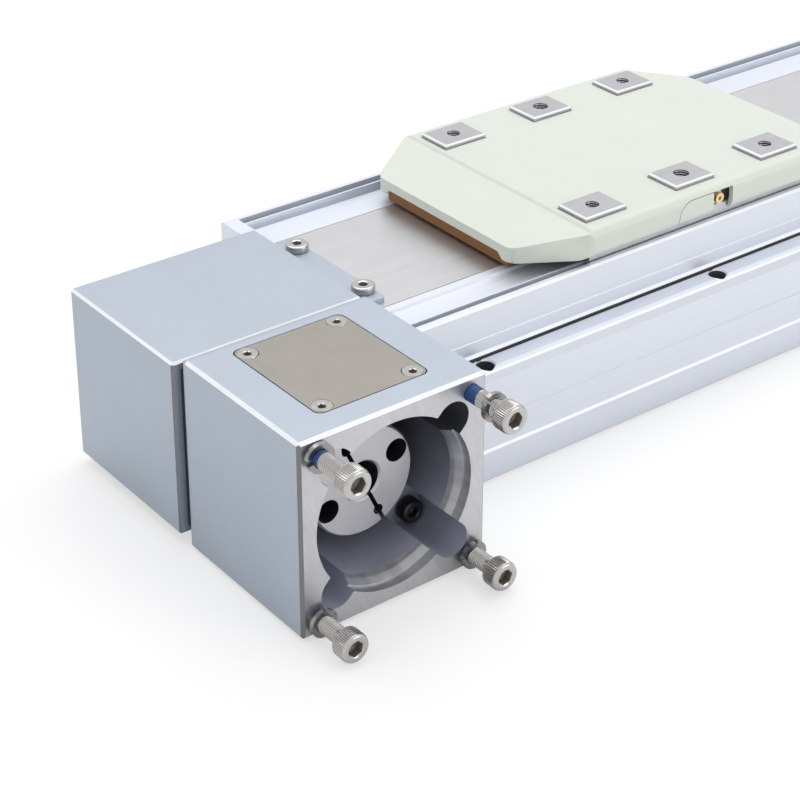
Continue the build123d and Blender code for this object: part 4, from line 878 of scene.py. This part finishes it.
# Profile of a socket screw, from the middle of the head's underside out and up to its top, then into
# the socket: shares of the head's or socket's half width, and of the head's height down from its top
HEAD_SPOTS = (
    (0.0, 1.0, ROUND), (0.93, 1.0, ROUND), (0.975, 0.96, ROUND), (0.99, 0.93, KNURL), (1.0, 0.90, KNURL),
    (1.0, 0.22, KNURL), (0.985, 0.15, KNURL), (0.965, 0.115, ROUND), (0.93, 0.055, ROUND),
    (0.88, 0.012, ROUND), (0.84, 0.0, ROUND),
)
SOCKET_SPOTS = (
    (1.24, 0.0, ROUND), (1.12, 0.035, ROUND), (1.0, 0.06, HEXAGON), (1.0, 0.52, HEXAGON),
    (0.55, 0.60, FLOOR), (0.0, 0.66, FLOOR),
)
CELLS_PER_FLUTE = 6.0
SHANK_CELLS = 36.0
ROWS_PER_TURN = 7.0

# The locking patch ends where the cosine of the angle round the shank falls below the edge, and
# fills this share of the thread's depth
PATCH_EDGE = -0.45
PATCH_FILL = 0.55


def socket_screw_recipe():
    """Socket head screw: knurled head, hexagon socket, threaded shank and a locking patch."""
    r = Recipe(
        "Socket Screw",
        Float=(
            "Head Diameter", "Head Height", "Drive", "Shank Diameter", "Shank Length", "Thread Pitch",
            "Thread Depth", "Knurl Depth", "Patch Start", "Patch End",
        ),
        Int=("Flutes",), Material=("Metal", "Patch"),
    )
    head = r.times(r["Head Diameter"], 0.5)
    drive = r.times(r["Drive"], 0.5)
    shank = r.times(r["Shank Diameter"], 0.5)
    tall, long, pitch = r["Head Height"], r["Shank Length"], r["Thread Pitch"]
    spots = [
        r.spot(r.times(half, share), r.times(tall, down), kind)
        for half, rows in ((head, HEAD_SPOTS), (drive, SOCKET_SPOTS)) for share, down, kind in rows
    ]
    capped = r.lathe(r.times(r["Flutes"], CELLS_PER_FLUTE), spots, r["Flutes"], r["Knurl Depth"])

    def in_patch(down, angle):
        """1 where the locking patch lies, this far down from the head's seat."""
        past_start = r.math("GREATER_THAN", down, r["Patch Start"])
        before_end = r.math("LESS_THAN", down, r["Patch End"])
        on_side = r.math("GREATER_THAN", r.math("COSINE", angle), PATCH_EDGE)
        return r.times(r.times(past_start, before_end), on_side)

    rows = r.math("ROUND", r.times(r.math("DIVIDE", long, pitch), ROWS_PER_TURN))
    grid, row, angle = r.sheet(SHANK_CELLS, rows)
    down = r.times(r.math("DIVIDE", row, rows), long)
    phase = r.minus(r.math("DIVIDE", down, pitch), r.math("DIVIDE", angle, math.tau))
    wave = r.math("ABSOLUTE", r.math("MULTIPLY_ADD", r.math("FRACT", phase), 2.0, -1.0))
    depth = r.times(r["Thread Depth"], r.math("MULTIPLY_ADD", in_patch(down, angle), -PATCH_FILL, 1.0))
    taper = r.math("MAXIMUM", r.minus(pitch, r.minus(long, down)), 0.0)
    radius = r.minus(r.minus(shank, r.times(wave, depth)), r.times(taper, 0.7))
    # The thread's valleys are marked for grime and painted shade
    stem = r.wrap(r.store(grid, "wear", r.times(wave, 0.6)), radius, angle, r.times(r.plus(down, tall), -1.0))

    neck = r.minus(shank, r.times(r["Thread Depth"], 0.9))
    tip_grid, tip_row, tip_angle = r.sheet(SHANK_CELLS, 1.0)
    tip_radius = r.times(r.minus(neck, r.times(pitch, 0.3)), tip_row)
    tip = r.wrap(tip_grid, tip_radius, tip_angle, r.times(r.plus(long, tall), -1.0))

    metal = r.put("GeometryNodeSetMaterial", r.joined(tip, capped), None, r["Metal"])
    threaded = r.put("GeometryNodeSetMaterial", stem, None, r["Metal"])
    place = r.position()
    dipped = in_patch(r.minus(r.times(place["Z"], -1.0), tall), r.math("ARCTAN2", place["Y"], place["X"]))
    marked = r.put("GeometryNodeSetMaterial", threaded, dipped, r["Patch"])
    return r.finish(r.joined(marked, metal))


# The same for a countersunk screw's top and socket, with shares of its cone's height
CONE_SPOTS = ((0.97, 0.08, ROUND), (0.95, 0.0, ROUND))
CONE_SOCKET_SPOTS = (
    (1.38, 0.0, ROUND), (1.18, 0.10, ROUND), (1.0, 0.14, HEXAGON), (1.0, 0.8, HEXAGON), (0.0, 0.95, FLOOR),
)
CONE_CELLS = 48.0


def flush_screw_recipe():
    """Countersunk screw with a hexagon socket."""
    r = Recipe(
        "Flush Screw", Float=("Head Diameter", "Drive", "Shank Diameter", "Shank Length"),
        Material=("Metal",),
    )
    head = r.times(r["Head Diameter"], 0.5)
    shank = r.times(r["Shank Diameter"], 0.5)
    drive = r.times(r["Drive"], 0.5)
    cone = r.minus(head, shank)
    spots = [r.spot(0.0, r["Shank Length"]), r.spot(shank, r["Shank Length"]), r.spot(shank, cone)]
    spots += [
        r.spot(r.times(half, share), r.times(cone, down), kind)
        for half, rows in ((head, CONE_SPOTS), (drive, CONE_SOCKET_SPOTS)) for share, down, kind in rows
    ]
    body = r.lathe(CONE_CELLS, spots, CONE_CELLS / 2, 0.0)
    return r.finish(r.put("GeometryNodeSetMaterial", body, None, r["Metal"]))


WASHER_STEPS = 72
WASHER_TURN = 0.955


def spring_washer_recipe():
    """Split spring washer: almost one turn of a rising square section."""
    r = Recipe(
        "Spring Washer", Float=("Outer Diameter", "Inner Diameter", "Thickness", "Rise"), Material=("Metal",)
    )
    middle = r.times(r.plus(r["Outer Diameter"], r["Inner Diameter"]), 0.25)
    width = r.times(r.minus(r["Outer Diameter"], r["Inner Diameter"]), 0.5)
    rail = r.put("GeometryNodeCurveSpiral", WASHER_STEPS, WASHER_TURN, middle, middle, r["Rise"], False)
    upright = r.put("GeometryNodeSetCurveNormal", rail, None, mode="Z_UP")
    section = r.put("GeometryNodeCurvePrimitiveQuadrilateral", width, r["Thickness"], mode="RECTANGLE")
    ring = r.put("GeometryNodeCurveToMesh", upright, section, None, True)
    lift = r.put("ShaderNodeCombineXYZ", 0.0, 0.0, r.times(r["Rise"], -0.5))
    centred = r.put("GeometryNodeTransform", ring, lift)
    return r.finish(r.put("GeometryNodeSetMaterial", centred, None, r["Metal"]))


# Pieces

def finishes(*names):
    """Materials made by the finishes operator."""
    missing = [name for name in names if "stage_" + name not in bpy.data.materials]
    if missing:
        raise RuntimeError(f"finishes {missing} are missing: run the finishes first")
    return [bpy.data.materials["stage_" + name] for name in names]


class STAGE_OT_finishes(bpy.types.Operator):
    """Makes the finishes and gives every CAD node its own"""

    bl_idname = "linear_stage.finishes"
    bl_label = "Finishes"
    bl_options = {"REGISTER", "UNDO"}

    def execute(self, context):
        made = make_finishes(context.scene.stage_finishes)
        given = set()
        for name, members in FINISH_OF.items():
            for node in members:
                mesh = cad_nodes[node].data
                mesh.materials.clear()
                mesh.materials.append(made[name])
                given.add(node)
        bare = set(cad_nodes) - given
        if bare:
            raise RuntimeError(f"no finish for {sorted(bare)}")
        return {"FINISHED"}


def box_rule(centre, normal):
    """Plain box: a painted highlight on the chamfers that face up, painted shade on the upright ones."""
    if max(abs(c) for c in normal) > 0.93:
        return 0
    return 1 if normal.z > 0.3 else 2


def from_axis(centre):
    """Distances sideways, upwards and in all from the drive axis."""
    x, z = centre.x - DRIVE_AXIS.x, centre.z - DRIVE_AXIS.z
    return x, z, math.hypot(x, z)


def coupling_rule(centre, normal):
    """Milled front face, turned pilot and cone, chamber and notches in dark anodising with painted shade,
    anodised outside.
    """
    x, z, radius = from_axis(centre)
    depth = centre.y - FACE_Y
    if depth < FACE_SKIN and normal.y < -0.9:
        return 3
    in_pocket = max(abs(x), abs(z)) < POCKET_HALF and radius < POCKET_RADIUS and abs(normal.y) < 0.99
    if in_pocket or radius < CHAMBER_RADIUS:
        inward = -(normal.x * x + normal.z * z) / max(radius, 1e-6)
        faces_axis = inward > 0.9 * math.hypot(normal.x, normal.z)
        return 4 if depth < TURNED_DEPTH and radius < TURNED_RADIUS and faces_axis else 5
    return box_rule(centre, normal) if depth < CHAMFERED_DEPTH else 0


def hub_rule(centre, normal):
    """Turned outside of the coupling's hub; its holes and slit are painted dark as painted shade."""
    x, z, radius = from_axis(centre)
    outward = (normal.x * x + normal.z * z) / max(radius, 1e-6)
    on_rim = outward > 0.9 and radius > HUB_RIM
    return 0 if abs(normal.y) > 0.95 or normal.y < -0.3 or on_rim else 1


def profile_rule(centre, normal):
    """Painted highlight on the chamfers, and painted shade in the mounting holes and foot grooves of the
    extruded base.
    """
    out, up = abs(centre.y), centre.z
    in_hole = HOLE_BAND[0] < out < HOLE_BAND[1] and abs(normal.z) < 0.5 and up > HOLE_FLOOR
    in_groove = FOOT_GROOVE[0] < out < FOOT_GROOVE[1] and FOOT_GROOVE_HEIGHT[0] < up < FOOT_GROOVE_HEIGHT[1]
    if in_hole or in_groove:
        return 2
    slanted = normal.z > 0.3 and abs(normal.y) > 0.3
    at_foot = out < FOOT_EDGE[0] and up < FOOT_EDGE[1]
    return 1 if slanted and (out > LEDGE_EDGE_OUT or up > WALL_EDGE_HEIGHT or at_foot) else 0


def pad_rule(centre, normal):
    """Painted shade in the threads of the pads' holes and a painted highlight on the edges round the pads."""
    x, y = abs(centre.x - CARRIAGE_CENTRE.x), abs(centre.y)
    middle = PAD_X if x > PAD_X / 2 else 0.0
    if math.hypot(x - middle, y - PAD_Y) < PAD_HOLE_REACH:
        return 1 if abs(normal.z) < 0.5 else 0
    return 2 if 0.25 < normal.z < 0.97 and centre.z > PAD_EDGE_HEIGHT else 0


def notch_cutters():
    """Widens the four notches of the motor face and opens them to the chamber."""
    return [
        slot_cutter((NOTCH_INNER * x, NOTCH_INNER * z), (NOTCH_OUTER * x, NOTCH_OUTER * z),
                    NOTCH_RADIUS, FACE_Y - MM, NOTCH_DEPTH + MM)
        for x in (-1, 1) for z in (-1, 1)
    ]


def hub_cutters():
    """Widens the hub's relief holes and the holes at its slit's ends."""
    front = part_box("coupling_hub_motor")[0].y - MM
    return [
        slot_cutter((x * MM, z * MM), (x * MM, z * MM), radius * MM, front, HUB_HOLE_DEPTH + MM)
        for x, z, radius in HUB_HOLES
    ]


def seam_cutter(steps=10):
    """Rounds the coupling housing's rear top edge, beside the seam."""
    rear, top = FACE_Y + HOUSING_DEPTH, HOUSING_HIGH.z
    corner = []
    for i in range(steps + 1):
        turn = i / steps * math.pi / 2
        back, down = REAR_ROUNDING * (1 - math.sin(turn)), REAR_ROUNDING * (1 - math.cos(turn))
        corner.append((rear - back, top - down))
    beyond = rear + 0.1 * MM
    corner += [(beyond, top - REAR_ROUNDING), (beyond, top + MM), (rear - REAR_ROUNDING, top + MM)]
    side = HOUSING_LOW.x - MM
    return prism([(side, y, z) for y, z in corner], (HOUSING_HIGH.x - side + MM, 0.0, 0.0))


def crease_cutter(end, steps=10):
    """Lowers a sloping end of the cover a little, so that the flat top ends in a soft step."""
    reach, tall = COVER_HIGH.x - CARRIAGE_CENTRE.x, COVER_HIGH.z
    line = [(reach + MM, tall - COVER_END_DROP - COVER_END_SLOPE * MM)]
    for i in range(steps + 1):
        share = i / steps
        out = CREASE_X + CREASE_HALF * (1 - 2 * share)
        ease = share * share * (3 - 2 * share)
        slope = COVER_END_SLOPE * max(out - CREASE_X, 0.0)
        line.append((out, tall - CREASE_STEP * (1 - ease) - slope + 0.001 * MM * share))
    line += [(CREASE_X - CREASE_HALF, tall + MM), (reach + MM, tall + MM)]
    outline = [(CARRIAGE_CENTRE.x + end * out, COVER_LOW.y - MM, z) for out, z in line]
    return prism(outline, (0.0, COVER_HIGH.y - COVER_LOW.y + 2 * MM, 0.0))


def arch_cutter(end):
    """Raises the lower edge of a cover's end over the wiper."""
    face = COVER_HIGH.x if end > 0 else COVER_LOW.x
    low = COVER_LOW.z
    half = [(ARCH_HALF, low - MM), (ARCH_HALF, low), (ARCH_HALF - ARCH_SLANT, low + ARCH_RISE)]
    line = [(-y, z) for y, z in half] + half[::-1]
    return prism([(face + end * MM, y, z) for y, z in line], (-end * (ARCH_DEPTH + MM), 0.0, 0.0))


class STAGE_OT_housings(bpy.types.Operator):
    """Rounds the housings' edges, parts their milled faces from the blasted ones, opens the holes of the
    coupling's hub, and gives the base painted highlights on its chamfers and painted shade in its holes and
    foot grooves"""

    bl_idname = "linear_stage.housings"
    bl_label = "Housings"
    bl_options = {"REGISTER", "UNDO"}

    def execute(self, context):
        outside = finishes("anodised_housing", "bright_edge", "dark_edge")
        inside = finishes("milled_face", "turned_bore", "chamber_dull")
        softened("coupling_housing", outside + inside, 0.10 * MM, coupling_rule,
                 cutters=notch_cutters() + [seam_cutter()])
        softened("coupling_hub_motor", finishes("turned_coupling", "hollow_dark"),
                 0.05 * MM, hub_rule, cutters=hub_cutters())
        for node in ("drive_housing", "idler_housing"):
            softened(node, outside, 0.10 * MM, box_rule)
        bed = finishes("anodised_profile", "ledge_edge", "dark_edge")
        repainted("base_profile", bed, profile_rule)
        return {"FINISHED"}


class STAGE_OT_plates(bpy.types.Operator):
    """Draws in the plate over the coupling, so that a gap shows, and rounds the strip clamps"""

    bl_idname = "linear_stage.plates"
    bl_label = "Plates"
    bl_options = {"REGISTER", "UNDO"}

    def execute(self, context):
        plate = repainted("access_cover", finishes("plate_steel"))
        middle = centre_of("access_cover")
        for vertex in plate.data.vertices:
            vertex.co.x += (middle.x - vertex.co.x) * PLATE_DRAW_IN[0]
            vertex.co.y += (middle.y - vertex.co.y) * PLATE_DRAW_IN[1]
        softened("strip_clamps", finishes("anodised_housing"), 0.15 * MM)
        return {"FINISHED"}


class STAGE_OT_carriage(bpy.types.Operator):
    """Rounds the moulded carriage cover, its hatch and the pads"""

    bl_idname = "linear_stage.carriage"
    bl_label = "Carriage"
    bl_options = {"REGISTER", "UNDO"}

    def execute(self, context):
        ivory = finishes("ivory_plastic")
        softened("carriage_cover", ivory, 0.5 * MM, segments=3, limit=25.0,
                 cutters=[crease_cutter(-1), crease_cutter(1), arch_cutter(-1), arch_cutter(1)])
        softened("side_hatch", ivory, 0.25 * MM, segments=3)
        metal = finishes("pad_metal", "threaded_bore", "bright_edge")
        softened("carriage_plate", metal, 0.20 * MM, pad_rule, segments=1)
        return {"FINISHED"}


# Head diameter, head height, drive, shank diameter and shank length in millimetres
SOCKET_SCREWS = {
    "motor_screws": (8.5, 5.0, 4.0, 5.0, 20.0),
    "strip_clamp_screws": (7.0, 2.2, 2.5, 4.0, 10.0),
    "tie_screws": (7.0, 4.0, 3.0, 4.0, 42.0),
    "tension_screws": (8.5, 5.0, 4.0, 5.0, 17.0),
    "end_plate_screws": (7.0, 2.4, 2.5, 4.0, 12.0),
}
TIE_SCREW_FLUTES = 34
PLAIN_HEAD_FLUTES = 16
FINE_THREAD_PITCH = 0.7 * MM
FINE_THREAD_SHARE = 0.85


class STAGE_OT_screws(bpy.types.Operator):
    """Threads and knurls the socket head screws"""

    bl_idname = "linear_stage.screws"
    bl_label = "Socket Screws"
    bl_options = {"REGISTER", "UNDO"}

    def execute(self, context):
        s = context.scene.stage_screws
        recipe = socket_screw_recipe()
        bright, dark, patch = finishes("nickel_plate", "black_oxide", "locking_patch")
        knurls = {"motor_screws": s.flutes, "tension_screws": s.flutes, "tie_screws": TIE_SCREW_FLUTES}
        for node, (head, tall, drive, shank, long) in SOCKET_SCREWS.items():
            coarse, patched = shank > 4.5, node == "motor_screws"
            values = {
                "Head Diameter": head * MM, "Head Height": tall * MM, "Drive": drive * MM,
                "Shank Diameter": shank * MM, "Shank Length": long * MM,
                "Thread Pitch": s.thread_pitch if coarse else FINE_THREAD_PITCH,
                "Thread Depth": s.thread_depth * (1.0 if coarse else FINE_THREAD_SHARE),
                "Flutes": knurls.get(node, PLAIN_HEAD_FLUTES),
                "Knurl Depth": s.knurl_depth if node in knurls else 0.0,
                "Patch Start": s.patch_start if patched else 0.0,
                "Patch End": s.patch_end if patched else 0.0,
                "Metal": dark if node == "tie_screws" else bright, "Patch": patch,
            }
            seat(recipe.apply(node + "_threaded", screw_frames(node), values), node)
        return {"FINISHED"}


# Shank lengths of the countersunk screws in millimetres
FLUSH_SCREWS = {"access_cover_screws": 5.5, "service_cover_screws": 5.5, "bearing_retainer_screws": 8.0}


class STAGE_OT_flush_screws(bpy.types.Operator):
    """Countersunk screws of the covers and the bearing retainers"""

    bl_idname = "linear_stage.flush_screws"
    bl_label = "Flush Screws"
    bl_options = {"REGISTER", "UNDO"}

    def execute(self, context):
        recipe = flush_screw_recipe()
        values = {
            "Head Diameter": 6.0 * MM, "Drive": 2.0 * MM, "Shank Diameter": 3.0 * MM,
            "Metal": finishes("nickel_plate")[0],
        }
        for node, long in FLUSH_SCREWS.items():
            values["Shank Length"] = long * MM
            seat(recipe.apply(node + "_turned", screw_frames(node), values), node)
        return {"FINISHED"}


class STAGE_OT_washers(bpy.types.Operator):
    """Split spring washers on the motor screws"""

    bl_idname = "linear_stage.washers"
    bl_label = "Spring Washers"
    bl_options = {"REGISTER", "UNDO"}

    def execute(self, context):
        s = context.scene.stage_screws
        boxes = [box_of(cloud) for cloud in solids_of("motor_spring_washers")]
        frames = [((low + high) / 2, Vector((0.0, -1.0, 0.0))) for low, high in boxes]
        values = {
            "Outer Diameter": 8.2 * MM, "Inner Diameter": 5.2 * MM, "Thickness": 1.3 * MM,
            "Rise": s.washer_rise, "Metal": finishes("spring_steel")[0],
        }
        piece = spring_washer_recipe().apply("spring_washers_split", frames, values)
        seat(piece, "motor_spring_washers")
        return {"FINISHED"}


# Studio

FLOOR_REACH = 4.0
FLOOR_DROP = 0.3 * MM
FLOOR_GLOW = 0.55

# Softboxes by the setting of their power: place, the point that they look at, and size in metres
SOFTBOXES = {
    "key": ((0.15, 0.35, 1.25), (0.0, 0.0, 0.0), (1.5, 1.1)),
    "fill": ((0.55, -1.20, 0.55), (0.0, 0.0, 0.02), (1.0, 0.7)),
    "side": ((-1.40, 0.10, 0.45), (0.0, 0.0, 0.03), (1.0, 0.7)),
}


def area_lamp(name, place, target, size, power):
    """Softbox that looks at a point."""
    lamp = bpy.data.lights.new(name, "AREA")
    lamp.shape = "RECTANGLE"
    lamp.size, lamp.size_y = size
    lamp.energy = power
    thing = link(name, lamp)
    turn = (Vector(target) - Vector(place)).to_track_quat("-Z", "Y").to_matrix().to_4x4()
    thing.matrix_world = Matrix.Translation(place) @ turn
    return thing


def white_background(tree, ambient):
    """World light: white behind the object and in its reflections, ambient elsewhere."""
    path = tree.nodes.new("ShaderNodeLightPath").outputs
    seen = put(tree, "ShaderNodeMath", path["Is Camera Ray"], path["Is Glossy Ray"], operation="MAXIMUM")
    seen = put(tree, "ShaderNodeMath", seen, path["Is Transmission Ray"], operation="MAXIMUM")
    return put(tree, "ShaderNodeMapRange", seen, 0.0, 1.0, ambient, 1.0)


def photo_camera(s):
    """Camera at the photograph's view."""
    lens = bpy.data.cameras.new("photo_view")
    lens.sensor_width = 36.0
    lens.lens = s.lens
    lens.shift_x, lens.shift_y = s.shift_x, s.shift_y
    lens.clip_start, lens.clip_end = 0.01, 20.0
    level = math.cos(s.pitch)
    ahead = Vector((math.sin(s.yaw) * level, math.cos(s.yaw) * level, -math.sin(s.pitch)))
    right = Vector((math.cos(s.yaw), -math.sin(s.yaw), 0.0))
    up = right.cross(ahead)
    across = right * math.cos(s.roll) + up * math.sin(s.roll)
    above = up * math.cos(s.roll) - right * math.sin(s.roll)
    camera = link("photo_view", lens)
    turn = Matrix((across, above, -ahead)).transposed().to_4x4()
    camera.matrix_world = Matrix.Translation(Vector(s.camera)) @ turn
    return camera


def pale_floor():
    """White floor just under the part, partly glowing to the camera so that it fades into the background."""
    low = cad_box[0].z - FLOOR_DROP
    mesh = bpy.data.meshes.new("studio_floor")
    corners = [(x * FLOOR_REACH, y * FLOOR_REACH, low) for x, y in ((-1, -1), (1, -1), (1, 1), (-1, 1))]
    mesh.from_pydata(corners, [], [(0, 1, 2, 3)])
    matt = Finish("studio_floor", (0.92, 0.92, 0.92), 0.0, 0.9)
    matt.tint(matt.noise(0.4), 0.995, 1.0)
    glow = matt.put("ShaderNodeEmission", (1.0, 1.0, 1.0, 1.0), 1.0)
    path = matt.tree.nodes.new("ShaderNodeLightPath").outputs
    seen = matt.times(path["Is Camera Ray"], FLOOR_GLOW)
    mixed = matt.put("ShaderNodeMixShader", seen, matt.shader.outputs[0], glow)
    matt.tree.links.new(mixed, matt.tree.nodes["Material Output"].inputs["Surface"])
    mesh.materials.append(matt.material)
    link("studio_floor", mesh)


class STAGE_OT_studio(bpy.types.Operator):
    """Pale floor, soft light and the camera at the photograph's view"""

    bl_idname = "linear_stage.studio"
    bl_label = "Studio"
    bl_options = {"REGISTER", "UNDO"}

    def execute(self, context):
        s = context.scene.stage_studio
        context.scene.view_settings.view_transform = "Standard"
        context.scene.camera = photo_camera(s)

        world = bpy.data.worlds.new("studio")
        world.use_nodes = True
        sky = world.node_tree.nodes["Background"]
        world.node_tree.links.new(white_background(world.node_tree, s.ambient), sky.inputs["Strength"])
        sky.inputs["Color"].default_value = (1.0, 1.0, 1.0, 1.0)
        context.scene.world = world

        pale_floor()
        for name, (place, target, size) in SOFTBOXES.items():
            lamp = area_lamp(name + "_softbox", place, target, size, getattr(s, name))
            lamp.visible_glossy = name != "side"
        return {"FINISHED"}


class STAGE_PT_panel(bpy.types.Panel):
    """Buttons for each group of pieces"""

    bl_label = "Linear Stage"
    bl_idname = "STAGE_PT_panel"
    bl_space_type = "VIEW_3D"
    bl_region_type = "UI"
    bl_category = "Linear Stage"

    def draw(self, context):
        for operator in OPERATORS:
            self.layout.operator(operator.bl_idname)
        for group in (context.scene.stage_finishes, context.scene.stage_screws, context.scene.stage_studio):
            box = self.layout.box()
            for name in group.bl_rna.properties.keys():
                if name not in ("rna_type", "name"):
                    box.prop(group, name)


GROUPS = {"stage_finishes": FinishSettings, "stage_screws": ScrewSettings, "stage_studio": StudioSettings}
OPERATORS = (
    STAGE_OT_finishes, STAGE_OT_studio, STAGE_OT_housings, STAGE_OT_plates, STAGE_OT_carriage,
    STAGE_OT_screws, STAGE_OT_flush_screws, STAGE_OT_washers,
)


def register():
    for group in GROUPS.values():
        bpy.utils.register_class(group)
    for name, group in GROUPS.items():
        setattr(bpy.types.Scene, name, PointerProperty(type=group))
    for operator in OPERATORS:
        bpy.utils.register_class(operator)
    bpy.utils.register_class(STAGE_PT_panel)


def unregister():
    bpy.utils.unregister_class(STAGE_PT_panel)
    for operator in reversed(OPERATORS):
        bpy.utils.unregister_class(operator)
    for name, group in GROUPS.items():
        delattr(bpy.types.Scene, name)
        bpy.utils.unregister_class(group)


def main():
    register()
    for operator in OPERATORS:
        getattr(bpy.ops.linear_stage, operator.bl_idname.split(".")[1])()


if __name__ == "__main__":
    main()
